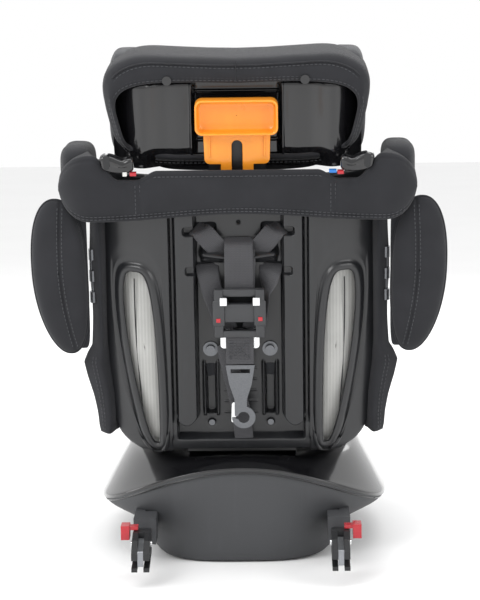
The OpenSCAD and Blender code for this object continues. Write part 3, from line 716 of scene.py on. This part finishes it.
# ---------- fabric ----------
def band_edges(x):
    """Lower and upper edge of the rear band: level in the middle, dipped under the belt guides, then out and up to
    shoulders that close in a round end."""
    ax = np.abs(x)
    top = 437 - 13 * step(ax, 112, 142) + 36 * step(ax, 166, 203)
    low = 373 - 10 * step(ax, 0, 200)
    end = np.clip((ax - 205) / 48, 0, 1)
    close = np.sqrt(np.maximum(1 - end ** 2.2, 0))
    return 410 + (low - 410) * close, 410 + (top - 410) * close


def band_face(x, s):
    """Depth of the band's outer face: a soft pad that grows thicker at the shoulders, with a fold beside the guides."""
    low, top = band_edges(x)
    ax = np.abs(x)
    across = np.sin(np.clip((s - low) / np.maximum(top - low, 1e-3), 0, 1) * np.pi)
    end = np.clip((ax - 205) / 48, 0, 1)
    y = -9.5 - 2.6 * across ** 0.7 - 6.5 * step(ax, 158, 212) * across ** 0.6 + 22 * end ** 2.4
    return y + 3.0 * bell(ax, 158 + 0.25 * (s - 420), 7) * step(s, 385, 430) + 1.8 * bell(ax, 137, 1.8)


def make_yoke():
    """Rear band of the cover as a closed flat section carried across the shell, then its padded shoulders."""
    x = np.concatenate([np.linspace(-252.6, -205, 26), np.linspace(-203, 203, 170),
                        np.linspace(205, 252.6, 26)])[:, None]
    a = np.linspace(0, 2 * np.pi, 64, endpoint=False)[None, :]
    low, top = band_edges(x)
    s = (top + low) / 2 + (top - low) / 2 * spow(np.sin(a), 0.75)
    face = band_face(x, s)
    back = -3.5 + 34 * step(np.abs(x), 200, 215)
    back = np.maximum(back, face + 1.5)
    ease_in = (1 - np.abs(np.cos(a)) ** 0.4) * 3.5
    y = np.where(np.cos(a) > 0, face + ease_in, back - ease_in)
    hem = 1.3 * bell(s - low, 7, 1.2) + 1.1 * bell(top - s, 6, 1.2)
    y = y + hem * (np.cos(a) > 0)
    points = lean(x, y, s)
    points = points + np.array([0, 1.4 * MM, 0]) * waves(points, 42, 2.2)[..., None]
    piece = grid("yoke_band", points, "fabric", "seat", "shoulder_yoke", wrap_cols=True)
    paths = []
    line = np.linspace(-236, 236, 300)
    for gap in (5.0, 9.0):
        run = band_edges(line)[0] + gap
        paths.append(lean(line, band_face(line, run) - 0.2, run))
    line = np.linspace(-118, 118, 150)
    run = band_edges(line)[1] - 8
    paths.append(lean(line, band_face(line, run) - 0.2, run))
    for seam in (-140, 134):
        for d in (-3.2, 3.2):
            low, top = band_edges(np.array(seam + d))
            run = np.linspace(low + 10, top - 8, 40)
            paths.append(lean(seam + d, band_face(seam + d + 0 * run, run) - 0.2, run))
    stitches("yoke_stitches", paths, "seat")
    for side in SIDES:
        def roll(x, y, s):
            return x, y, s - 0.10 * (y - 60) + 4 * bell(y, 20, 40)
        low = (204 if side > 0 else -252, 2, 400)
        high = (252 if side > 0 else -204, 134, 460)
        name = "shoulder_left" if side < 0 else "shoulder_right"
        pillow(name, low, high, "fabric", "seat", "shoulder_yoke", corner=0.62, crease=roll, wrinkle=1.6)


def pod_place(ux, us):
    """Plan of a pod: a leaf, widest above its middle, whose lower end draws in towards the seat; gives x and s."""
    s = POD_S + 4 + 114 * us + 9 * (1 - us * us)
    x = HINGE_X + 45.5 + 38.5 * ux + 3.5 * us - 9 * us * us * (us < 0)
    return x, s


def pod_face(ux, us, seam=True):
    """Depth of a pod's rear face at its plan place: a lens, creased along its seam."""
    rho = np.clip((np.abs(us) ** 2.2 + np.abs(ux) ** 2.2) ** (1 / 2.2), 0, 1)
    y = HINGE_Y - 18 - 15.5 * np.sqrt(np.maximum(1 - rho ** 3.2, 0)) * (1 - 0.1 * ux)
    return y + 2.2 * bell(ux, -0.16 + 0.10 * np.cos(us * 2.2), 0.05) * seam


def make_pods():
    """Side pods: leaf-shaped pads with a sewn seam down the back, double stitched, and a piped edge."""
    for side, body, node in ((-1.0, "pod_left", "pod_left"), (1.0, "pod_right", "pod_right")):
        theta = np.linspace(0, 2 * np.pi, 160, endpoint=False)[None, :]
        cx, cs = spow(np.cos(theta), 2 / 2.2), spow(np.sin(theta), 2 / 2.2)
        rows = []
        for rho in np.concatenate([np.linspace(0.02, 0.9, 26), [0.93, 0.955, 0.975, 0.988, 0.996, 1.0]]):
            ux, us = cx[0] * rho, cs[0] * rho
            x, s = pod_place(ux, us)
            rows.append((x, pod_face(ux, us), s))
        for rho in (0.996, 0.985, 0.96, 0.92, 0.85, 0.7, 0.5, 0.25, 0.02):
            ux, us = cx[0] * rho, cs[0] * rho
            x, s = pod_place(ux, us)
            rows.append((x, 2 * (HINGE_Y - 18) - pod_face(ux, us, False), s))
        x, y, s = (np.stack([row[i] for row in rows]) for i in range(3))
        points = lean(side * x, y, s)
        points = points + np.array([0, 0.9 * MM, 0]) * waves(points, 55, 3.1)[..., None]
        piece = grid(f"{body}_pad", points, "fabric", body, node, wrap_cols=True)
        t = np.linspace(0, 2 * np.pi, 200, endpoint=False)
        x, s = pod_place(1.012 * spow(np.cos(t), 2 / 2.2), 1.006 * spow(np.sin(t), 2 / 2.2))
        tube(f"{body}_piping", lean(side * x, HINGE_Y - 18 + 0 * t, s), 1.5 * MM, "fabric", body, closed=True)
        us = np.linspace(-0.93, 0.93, 120)
        paths = []
        for d in (-0.09, 0.09):
            ux = -0.16 + 0.10 * np.cos(us * 2.2) + d
            x, s = pod_place(ux, us)
            paths.append(lean(side * x, pod_face(ux, us) - 0.3, s))
        stitches(f"{body}_stitches", paths, body)
        xs = sorted((side * 216.5, side * 242))
        pillow(f"{body}_gusset", (xs[0], 19, 166), (xs[1], 27, 384), "fabric", body, node, corner=0.3)


# ---------- headrest ----------
def head_outline(t, inset=0.0, drop=0.0):
    """Rear silhouette of the headrest: wide humped corners over sides that taper to the neck."""
    x = 188 * spow(np.cos(t), 0.42)
    s = 520 + np.where(np.sin(t) > 0, 76, 82) * spow(np.sin(t), 0.42)
    x = x * (1 - 0.11 * step(-s, -560, -430))
    s = s + np.where(np.sin(t) > 0, 3.5 * bell(np.abs(x), 140, 34) - 5.5 * bell(x, 0, 80), 0)
    shrink = 1 - inset / 188
    return x * shrink, 520 + (s - 520) * (1 - inset / 82) - drop


def window_ring(t, grow=0.0):
    """Opening of the headrest cover: a wide rounded window, cut lower in the middle."""
    x = (171 + grow) * spow(np.cos(t), 0.34)
    s = 502 + (57 + grow) * spow(np.sin(t), 0.5) - np.where(np.sin(t) > 0, 2.5 * bell(x, 0, 60), 0)
    return x * (1 - 0.09 * step(-s, -540, -450)), s


def make_head_cover():
    """Cover of the headrest: rows run from inside its window, over the hem and the crown, then forwards."""
    t = np.linspace(0, 2 * np.pi, 200, endpoint=False)
    wx, ws = window_ring(t)
    rows = []
    for grow, y in ((2.5, 24), (0.5, 17), (0, 12.5), (1.2, 10.2), (3.5, 9.4)):
        x, s = window_ring(t, grow)
        rows.append(lean(x, y, s))
    ox, os_ = head_outline(t, 9)
    for k in (0.25, 0.5, 0.75):
        rows.append(lean(wx * (1 - k) + ox * k, 9 - 1.5 * math.sin(math.pi * k), ws * (1 - k) + os_ * k))
    for inset, y in ((9, 11), (3.5, 15), (0.6, 23), (0, 36), (0, 70), (0.5, 105), (3, 128), (8, 138), (14, 141)):
        x, s = head_outline(t, inset)
        rows.append(lean(x, y + 0.0 * x, s - 0.05 * (y - 20)))
    points = np.stack(rows)
    height = (points[..., 2:] / MM - LEAN_Z) / math.cos(LEAN)
    points = points + (lean(0, 24, 0) - lean(0, 0, 0)) * (1 - step(height, 448, 486))
    points = points + np.array([0, 0.5 * MM, 0.5 * MM]) * waves(points, 50, 4.4)[..., None]
    piece = grid("head_cover", points, "fabric", "headrest", "headrest_cover", wrap_cols=True, fix=False)
    turn_outwards(piece, Vector((0, -1, 0.4)))
    if piece.data.polygons[200 * 6 + 50].normal.y > 0:
        piece.data.flip_normals()
    solidify(piece, 2.0 * MM)
    a = t
    paths = []
    for grow in (4.0, 7.5):
        x, s = window_ring(a, grow)
        x, s = np.append(x, x[0]), np.append(s, s[0])
        paths.append(lean(x, 8.3 + 24 * (1 - step(s + 3, 448, 486)), s))
    stitches("head_hem_stitches", paths, "headrest")
    line = np.linspace(562, 588, 20)
    tube("head_centre_seam", lean(0 * line, 7.7 + 0.02 * (line - 562), line), 0.8 * MM, "fabric", "headrest")
    x, s = head_outline(np.linspace(0.13 * np.pi, 0.87 * np.pi, 160), 10)
    tube("head_crown_seam", lean(x, 9.0, s), 1.1 * MM, "fabric", "headrest")
    stitches("head_crown_stitches", [lean(x * 0.985, 8.4, s - 4)], "headrest")


def make_head_shell():
    """Polished hard shell seen through the window: two bowed wings either side of a deep middle recess."""
    x = np.linspace(-176, 176, 260)[None, :]
    s = np.linspace(432, 578, 110)[:, None]
    x, s = np.broadcast_arrays(x, s)
    ax = np.abs(x)
    y = 33 - 15 * bell(ax, 134, 21) + 24 * step(ax, 150, 176) ** 1.3 - 3 * bell(ax, 84, 16)
    recess = 1 - step(ax, 56, 63)
    y = y * (1 - recess) + 41 * recess
    y = y + 10 * step(s, 548, 572) * (1 - recess) + 8 * step(-s, -462, -436) * (1 - recess)
    y = y - 4 * (bell(ax, 64.5, 1.8)) * step(s, 440, 450)
    y = y - 3 * bell(s, 470, 1.5) * recess - 3 * bell(s, 540, 1.5) * recess
    piece = grid("head_hard_shell", lean(x, y, s), "gloss", "headrest", "headrest_shell", fix=False)
    turn_outwards(piece, Vector((0, -1, 0)))
    solidify(piece, 2 * MM)


def make_lever():
    """Lever: a dished tray of rounded rings, with a forked plate that runs down inside the shell."""
    rows = []
    for w, h, r, y in ((116, 50, 10, 13.5), (116, 50, 10, 0), (116, 50, 10, -5), (115, 49, 9.5, -6.6), (112.5, 46.5, 8.5, -7),
                       (110.5, 44.5, 8, -6.2), (109.5, 43.5, 7.8, -3), (108, 42, 8, 5), (103, 37, 8, 9.2), (90, 26, 8, 10.3)):
        outline = rounded(w, h, r, 0, 511)
        rows.append(lean(outline[:, 0], y, outline[:, 1]))
    rows.append(rows[-1] * 0.02 + rows[-1].mean(axis=0) * 0.98)
    grid("lever_tray", np.stack(rows), "orange", "headrest_lever", "headrest_lever", wrap_cols=True)
    turn = np.linspace(0, np.pi, 12)
    slot = np.stack([7.5 * np.cos(turn), 468 + 7.5 * np.sin(turn)], -1)
    corner = np.linspace(0, np.pi / 2, 6)
    right = [(8, 404), (23, 404), (23, 441)]
    knee = np.stack([38 + 8 * np.sin(corner), 449 - 8 * np.cos(corner)], -1)
    outline = np.concatenate([right, knee, [(47, 488)]])
    mirrored = outline[::-1] * np.array([-1, 1])
    prism("lever_plate", np.concatenate([outline, mirrored, slot[::-1]]), 10, 14.2, "orange", "headrest_lever",
          "headrest_lever", edge=1.0)
    boxes("lever_ribs", [((-40, 8.4, 452), (-37.5, 10.3, 484)), ((37.5, 8.4, 452), (40, 10.3, 484))], "orange",
          "headrest_lever", edge=0.5)


# ---------- cushions ----------
def swollen(piece, cap):
    """Inflate a closed pad with a short cloth simulation, then keep each point within cap of where it began."""
    remesh = piece.modifiers.new("Voxels", "REMESH")
    remesh.mode = "VOXEL"
    remesh.voxel_size = 0.006
    apply_modifiers(piece)
    start = read_points(piece)
    cloth = piece.modifiers.new("Cloth", "CLOTH")
    cloth.settings.use_pressure = True
    cloth.settings.uniform_pressure_force = 4.0
    cloth.settings.effector_weights.gravity = 0.0
    cloth.point_cache.frame_start, cloth.point_cache.frame_end = 1, 20
    for step_at in range(1, 21):
        bpy.context.scene.frame_set(step_at)
    apply_modifiers(piece)
    moved = read_points(piece) - start
    far = np.linalg.norm(moved, axis=1, keepdims=True)
    piece.data.vertices.foreach_set("co", (start + moved * np.minimum(1, cap / np.maximum(far, 1e-9))).ravel())
    piece.data.update()
    bpy.context.scene.frame_set(1)
    piece.data.polygons.foreach_set("use_smooth", np.ones(len(piece.data.polygons), dtype=bool))
    return smooth(piece, 1)


def apply_modifiers(piece):
    """Bake a piece's modifiers into its mesh."""
    made = bpy.data.meshes.new_from_object(piece.evaluated_get(bpy.context.evaluated_depsgraph_get()))
    piece.modifiers.clear()
    piece.data = made


def read_points(piece):
    points = np.empty(len(piece.data.vertices) * 3)
    piece.data.vertices.foreach_get("co", points)
    return points.reshape(-1, 3)


def make_cushions():
    """Everything the child leans on: seat, back, torso and thigh bolsters, and the headrest's pads."""
    cap = sizes().swell

    def seat_channels(x, y, z):
        lift = (z > 240) * 1.0
        z = z - lift * 5 * (bell(x, -62, 4) + bell(x, 62, 4)) * step(y, -120, -60) * (1 - step(y, 170, 215))
        return x, y, z - lift * 4 * bell(y, -10 + 0 * x, 4) * (np.abs(x) < 62)

    def back_channels(x, y, s):
        front = (y > 60) * 1.0
        y = y - front * 5 * (bell(x, -66, 4) + bell(x, 66, 4))
        return x, y - front * 4 * bell(s, 250, 4) * (np.abs(x) < 66), s

    seat = pillow("seat_pad", (-161, -128, 206), (161, 228, 262), "inner", "seat", "seat_cushion", place=plain, corner=0.3,
                  crown=6, counts=(90, 150), crease=seat_channels)
    swollen(seat, cap * 0.5)
    back = pillow("back_pad", (-144, 34, 106), (144, 82, 372), "inner", "seat", "back_cushion", corner=0.3, crown=5,
                  counts=(110, 150), crease=back_channels)
    swollen(back, cap * 0.5)
    for side, tag in ((-1.0, "left"), (1.0, "right")):
        def flip(low, high):
            xs = sorted((low[0] * side, high[0] * side))
            return (xs[0], *low[1:]), (xs[1], *high[1:])
        torso = pillow(f"torso_bolster_{tag}", *flip((148, 64, 150), (207, 168, 385)), "inner", "seat",
                       ("torso_bolsters",), corner=0.5, wrinkle=1.5)
        swollen(torso, cap)
        thigh = pillow(f"thigh_bolster_{tag}", *flip((163, -62, 208), (214, 224, 318)), "fabric", "seat",
                       ("thigh_bolsters",), place=plain, corner=0.45, wrinkle=1.5)
        swollen(thigh, cap)
        pillow(f"head_wing_{tag}", *flip((128, 60, 438), (183, 158, 586)), "inner", "headrest",
               ("headrest_pad",), corner=0.5, wrinkle=1.2)
        line = np.linspace(160, 375, 80)
        stitches(f"torso_stitches_{tag}", [lean(side * 178, 170.5 - 0.0006 * (line - 268) ** 2, line)], "seat")
    pillow("head_pad", (-134, 47, 420), (134, 91, 587), "inner", "headrest", "headrest_pad", corner=0.35, crown=4,
           counts=(70, 130))
    pillow("shoulder_pad_left", (-80, 92, 180), (-34, 107, 292), "fabric", "seat", "shoulder_pads", corner=0.35)
    pillow("shoulder_pad_right", (34, 92, 180), (80, 107, 292), "fabric", "seat", "shoulder_pads", corner=0.35)
    pillow("crotch_pad", (-24, 57, 263), (24, 72, 307), "fabric", "seat", "crotch_strap", place=plain, corner=0.35)


def make_tub():
    """Seat pan: rings that flare from the floor to the side walls, open at the top, with a rolled rim."""
    a = np.linspace(0, 2 * np.pi, 120, endpoint=False)
    high = 292 - 46 * step(np.sin(a), 0.55, 0.98) - 30 * step(-np.sin(a), 0.6, 0.98)
    rows = [ring(60, -100, 120, 3, 172, 120), ring(150, -180, 205, 4, 170, 120), ring(176, -194, 232, 5, 174, 120),
            ring(187, -198, 243, 6, 186, 120)]
    for t in (0.25, 0.5, 0.75, 0.95):
        rows.append(ring(188 + 25 * t, -199 - 2 * t, 246 + 7 * t, 6, 190 + (high - 190) * t, 120))
    rows += [ring(214, -202, 254, 6, high, 120), ring(211, -199, 251, 6, high + 2, 120), ring(208, -196, 248, 6, high, 120),
             ring(203, -194, 243, 6, high - 30, 120)]
    piece = grid("seat_tub", np.stack(rows), "shell", "seat", "seat_pan", wrap_cols=True, fix=False)
    if piece.data.polygons[0].normal.z > 0:
        piece.data.flip_normals()
    solidify(piece, 2.5 * MM)


SKIRT_S = [30, 42, 60, 90, 117, 140, 155, 166, 240, 372]
SKIRT_OUT = [207, 210, 212, 217, 223, 227, 221, 215, 214, 214]
SKIRT_IN = [196, 192, 190, 190, 193, 197, 199, 202, 202, 202]


def make_flaps():
    """Side skirts: sewn cloth that wraps from the shell's edge round each side of the seat to a low pointed corner."""
    for side, tag in ((-1.0, "left"), (1.0, "right")):
        s = np.linspace(31, 368, 110)[:, None]
        t = np.linspace(0, 1, 60)[None, :]
        outer, inner = np.interp(s, SKIRT_S, SKIRT_OUT), np.interp(s, SKIRT_S, SKIRT_IN)
        turn = step(t, 0.12, 0.42)
        x = inner - 14 + (outer - inner + 14) * np.clip(t / 0.34, 0, 1) - 10 * step(t, 0.36, 0.46)
        y = (46 - 22 * step(t, 0, 0.16) + 14 * step(t, 0.16, 0.4)
             + 100 * np.clip((t - 0.34) / 0.66, 0, 1) * step(s, 28, 120))
        x = x + 1.6 * np.sin(s / 23 + 5 * t) * turn
        piece = grid(f"side_skirt_{tag}", lean(side * x, y, s), "fabric", "seat", "side_flaps", fix=False)
        turn_outwards(piece, Vector((side, -0.6, 0)))
        solidify(piece, 3 * MM)
        run = np.linspace(36, 150, 80)
        wide = np.interp(run, SKIRT_S, SKIRT_OUT) - np.interp(run, SKIRT_S, SKIRT_IN)
        near = np.interp(run, SKIRT_S, SKIRT_IN)
        rows = [lean(side * (near + wide * share), 24 + drop, run) for share, drop in ((0.45, 1.6), (0.62, 4.2))]
        stitches(f"side_skirt_stitches_{tag}", rows, "seat")


# ---------- webbing and its hardware ----------
def make_webbing():
    """Rear straps, tether and front harness, each a ribbon along given points of its real route."""
    for side, tag in ((-1.0, "left"), (1.0, "right")):
        ribbon(f"rear_strap_upper_{tag}", [[side * 62, 20, 346], [side * 50, 13, 340], [side * 38, 13, 326],
               [side * 27, 19, 312], [side * 20, 25, 304]], 30, "webbing", "seat", twist=[0, side * 12, side * 20])
        twist = [0, 6, 30, 70, 40, 10, 0] if side > 0 else [0, -6, -10, -8, 0]
        ribbon(f"rear_strap_{tag}", [[side * 46, 27, 290], [side * 44, 16, 276], [side * 38, 11, 252],
               [side * 27, 9, 224], [side * 20, 11, 196]], 34, "webbing", "seat", "rear_straps", twist=twist, pinch=0.1)
        ribbon(f"harness_{tag}", [[side * 56, 83, 318], [side * 56, 88, 306], [side * 56, 89, 240], [side * 47, 92, 170],
               [side * 34, 107, 112]], 38, "webbing", "seat", "harness_straps")
        ribbon(f"lap_belt_{tag}", [[side * 152, -62, 276], [side * 128, -60, 284], [side * 92, -62, 296],
               [side * 60, -64, 302]], 34, "webbing", "seat", "lap_straps", place=plain, twist=[55, 60, 70])
    ribbon("adjuster_strap", [[-20, 11, 172], [-17, 8, 150], [-8, 7, 110], [0, 8, 70], [4, 12, 26]], 27, "webbing", "seat",
           "rear_straps", twist=[0, 10, 4, -6, 0])
    ribbon("tether_upper", [[0, 22, 330], [0, 9, 322], [0, 4, 306], [0, 3, 284], [0, 1.5, 258]], 41, "webbing", "seat",
           "tether_web", twist=[0, 3, 0])
    ribbon("tether_tail", [[3, 18, 312], [4, 9, 300], [3, 7, 280], [2, 5.5, 250]], 40, "webbing", "seat", twist=[0, -5, 0])
    ribbon("tether_lower", [[0, -5, 192], [0, -6.5, 180], [0, -7.5, 162], [0, -8.5, 150]], 40, "webbing", "seat",
           "tether_web", thick=3.6)
    ribbon("crotch_web", [[0, 53, 264], [0, 44, 281], [0, 36, 296]], 36, "webbing", "seat", "crotch_strap", place=plain)
    rows = [lean(np.linspace(-15, 15, 24), -9.9, s) for s in np.linspace(158, 184, 7)]
    rows += [lean(-15 + 0 * rows[0][:, 0], -9.9, np.linspace(158, 184, 24)), lean(np.linspace(-15, 15, 24), -9.9,
             np.linspace(158, 184, 24)), lean(np.linspace(15, -15, 24), -9.9, np.linspace(158, 184, 24))]
    stitches("tether_stitch_block", rows, "seat")
    boxes("tether_frame", [((-36, -11, 190), (-23, 0.5, 262)), ((23, -11, 190), (36, 0.5, 262)), ((-25, -10, 190), (25, -2, 200)),
          ((-25, -10, 213), (25, 0, 240)), ((-25, -9, 251), (25, -2, 262)), ((-38, -12.5, 208), (-21, -9.5, 246)),
          ((21, -12.5, 208), (38, -9.5, 246))], "frame", "seat", "tether_adjuster", edge=1.6)
    boxes("tether_frame_tabs", [((-27.5, -13.4, 239), (-17.5, -12.2, 251)), ((19.5, -13.4, 239), (29.5, -12.2, 251))],
          "chrome", "seat", edge=0.5)
    boxes("tether_tension_marks", [((-33, -13.6, 214), (-27, -12.3, 220)), ((27, -13.6, 216), (33, -12.3, 222))], "red",
          "seat", edge=0.5)


def make_guides():
    """Belt guide horns: a polished block with a hooked lip, rounded all over, with coloured belt markers."""
    for side, tag in ((-1.0, "left"), (1.0, "right")):
        def hook(x, y, s):
            ax = np.abs(x)
            return x, y - 4 * bell(s, 452, 8), s + 3 * step(ax, 165, 190) - 5 * bell(ax, 160, 9) * (s > 446)
        xs = sorted((side * 144, side * 192))
        pillow(f"belt_horn_{tag}", (xs[0], -13, 434), (xs[1], 7, 460), "gloss", "seat", "belt_guides", corner=0.5,
               crease=hook, wrinkle=0.0, soft=False)
    boxes("belt_marks_red", [((-150, -13, 431), (-141, -4, 436)), ((140, -13, 431), (149, -4, 436))], "red", "seat",
          "guide_markers", edge=0.7)
    boxes("belt_marks_blue", [((128.5, -13, 433), (139, -4, 437))], "blue", "seat", edge=0.7)
    boxes("belt_marks_pale", [((-160, -14, 431), (-154, -6, 437))], "pale", "seat", edge=0.7)


# ---------- finishes of the CAD parts ----------
CAD_FINISH = {
    "swivel_drum": "dark", "glide_ring": "pale", "grip_pads": "rubber", "arm_guides": "base", "slide_lock_button": "red",
    "anchor_frame": "steel", "connector_left": "dark", "connector_right": "dark", "connector_pins": "chrome",
    "jaw_left": "steel", "jaw_right": "steel", "release_tab_left": "red", "release_tab_right": "red",
    "turntable": "dark", "swivel_retainer": "steel", "recline_pin": "steel", "rotation_lever": "base",
    "side_wings": "shell", "recline_arc": "steel", "recline_lever": "base", "shell_hardware": "dark_steel",
    "buckle": "dark", "buckle_button": "red", "harness_adjuster": "dark", "harness_button": "red",
    "splitter_plate": "chrome", "tether_hook": "dark_steel", "tether_gate": "chrome", "belt_latch_left": "dark",
    "belt_latch_right": "dark", "headrest_stem": "dark", "headrest_snaps": "gloss", "pod_hinges": "dark_steel",
}


def finish_cad():
    """Give each shown CAD part its finish."""
    for node, finish in CAD_FINISH.items():
        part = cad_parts[node]
        part = part if isinstance(part, bpy.types.Object) else bpy.data.objects[node]
        part.data.materials.clear()
        part.data.materials.append(FINISH[finish])


# ---------- stage ----------
def make_stage():
    """Pale floor, soft lights from both sides and above, and a long lens behind and above the seat."""
    floor = make_floor()
    target = Vector((0.0009, -0.27, 0.3878))
    place = Vector((0.060, -3.451, 0.781))
    data = bpy.data.cameras.new("camera")
    data.lens = 134.3
    camera = bpy.data.objects.new("camera", data)
    camera.location = place
    turn = (target - place).to_track_quat("-Z", "Y").to_euler()
    camera.rotation_euler = turn
    camera.rotation_euler.rotate_axis("Z", math.radians(-0.7))
    bpy.context.collection.objects.link(camera)
    bpy.context.scene.camera = camera
    for name, spot, size, power in (("key", (-1.7, -1.9, 2.2), 1.4, 40), ("fill", (2.2, -1.6, 1.5), 1.6, 20),
                                    ("top", (0.0, -0.2, 2.8), 2.2, 30), ("rim", (0.4, 2.4, 1.9), 1.8, 22),
                                    ("side", (-2.6, 0.2, 1.0), 1.2, 18)):
        lamp = bpy.data.lights.new(name, "AREA")
        lamp.size = size
        lamp.energy = power
        light = bpy.data.objects.new(name, lamp)
        light.location = spot
        light.rotation_euler = (Vector((0, -0.1, 0.35)) - Vector(spot)).to_track_quat("-Z", "Y").to_euler()
        bpy.context.collection.objects.link(light)
    world = bpy.data.worlds.new("studio")
    bpy.context.scene.world = world
    world.use_nodes = True
    world.node_tree.nodes["Background"].inputs[0].default_value = (1, 1, 1, 1)
    world.node_tree.nodes["Background"].inputs[1].default_value = 1.0
    bpy.context.scene.view_settings.view_transform = "Standard"


def make_floor():
    """Wide, level floor."""
    y, x = np.meshgrid(np.linspace(-9, 9, 3), np.linspace(-9, 9, 3), indexing="ij")
    points = np.stack([x, y, 0 * x], -1)
    mesh = bpy.data.meshes.new("floor")
    mesh.from_pydata(points.reshape(-1, 3).tolist(), [], quads(3, 3).tolist())
    floor = bpy.data.objects.new("floor", mesh)
    bpy.context.collection.objects.link(floor)
    f = Finish("floor", Roughness=0.7)
    f.tint((0.86, 0.86, 0.86), (0.9, 0.9, 0.9), f.noise(3))
    mesh.materials.append(f.material)
    return floor


# ---------- operators ----------
class CARSEAT_OT_stage(bpy.types.Operator):
    """Make the floor, the lights and the camera"""
    bl_idname = "carseat.stage"
    bl_label = "Stage"

    def execute(self, context):
        FINISH.update(make_finishes())
        make_stage()
        return {"FINISHED"}


class CARSEAT_OT_cad(bpy.types.Operator):
    """Give the CAD parts their finishes"""
    bl_idname = "carseat.cad"
    bl_label = "Finish CAD Parts"

    def execute(self, context):
        finish_cad()
        return {"FINISHED"}


class CARSEAT_OT_base(bpy.types.Operator):
    """Make the base's tub and its polished lid"""
    bl_idname = "carseat.base"
    bl_label = "Base"

    def execute(self, context):
        make_base()
        make_cover()
        return {"FINISHED"}


class CARSEAT_OT_shell(bpy.types.Operator):
    """Make the backrest shell, its windows and liners, and the seat tub"""
    bl_idname = "carseat.shell"
    bl_label = "Shell"

    def execute(self, context):
        for side in SIDES:
            make_window_panel(side)
        make_shell_middle()
        make_liners()
        make_tub()
        return {"FINISHED"}


class CARSEAT_OT_cover(bpy.types.Operator):
    """Make the rear band, the shoulders and the side skirts of the cover"""
    bl_idname = "carseat.cover"
    bl_label = "Cover"

    def execute(self, context):
        make_yoke()
        make_flaps()
        return {"FINISHED"}


class CARSEAT_OT_pods(bpy.types.Operator):
    """Make the two fold-out side pods"""
    bl_idname = "carseat.pods"
    bl_label = "Side Pods"

    def execute(self, context):
        make_pods()
        return {"FINISHED"}


class CARSEAT_OT_headrest(bpy.types.Operator):
    """Make the headrest's cover, hard shell and lever"""
    bl_idname = "carseat.headrest"
    bl_label = "Headrest"

    def execute(self, context):
        make_head_cover()
        make_head_shell()
        make_lever()
        return {"FINISHED"}


class CARSEAT_OT_cushions(bpy.types.Operator):
    """Make the cushions, bolsters and pads"""
    bl_idname = "carseat.cushions"
    bl_label = "Cushions"

    def execute(self, context):
        make_cushions()
        return {"FINISHED"}


class CARSEAT_OT_webbing(bpy.types.Operator):
    """Make the straps, the tether frame and the belt guides"""
    bl_idname = "carseat.webbing"
    bl_label = "Webbing"

    def execute(self, context):
        make_webbing()
        make_guides()
        return {"FINISHED"}


OPERATORS = (CARSEAT_OT_stage, CARSEAT_OT_cad, CARSEAT_OT_base, CARSEAT_OT_shell, CARSEAT_OT_cover, CARSEAT_OT_pods,
             CARSEAT_OT_headrest, CARSEAT_OT_cushions, CARSEAT_OT_webbing)


class CARSEAT_PT_panel(bpy.types.Panel):
    """Sidebar panel with the settings and one button for each group of pieces"""
    bl_label = "Car Seat"
    bl_idname = "CARSEAT_PT_panel"
    bl_space_type = "VIEW_3D"
    bl_region_type = "UI"
    bl_category = "Car Seat"

    def draw(self, context):
        for settings in (context.scene.carseat_colours, context.scene.carseat_sizes):
            column = self.layout.column()
            for name in settings.__annotations__:
                column.prop(settings, name)
        for operator in OPERATORS:
            self.layout.operator(operator.bl_idname)


CLASSES = (CARSEAT_colours, CARSEAT_sizes, *OPERATORS, CARSEAT_PT_panel)


def register():
    for cls in CLASSES:
        bpy.utils.register_class(cls)
    bpy.types.Scene.carseat_colours = PointerProperty(type=CARSEAT_colours)
    bpy.types.Scene.carseat_sizes = PointerProperty(type=CARSEAT_sizes)


def unregister():
    del bpy.types.Scene.carseat_sizes
    del bpy.types.Scene.carseat_colours
    for cls in reversed(CLASSES):
        bpy.utils.unregister_class(cls)


def main():
    register()
    for operator in OPERATORS:
        group, name = operator.bl_idname.split(".")
        getattr(getattr(bpy.ops, group), name)()


if __name__ == "__main__":
    main()
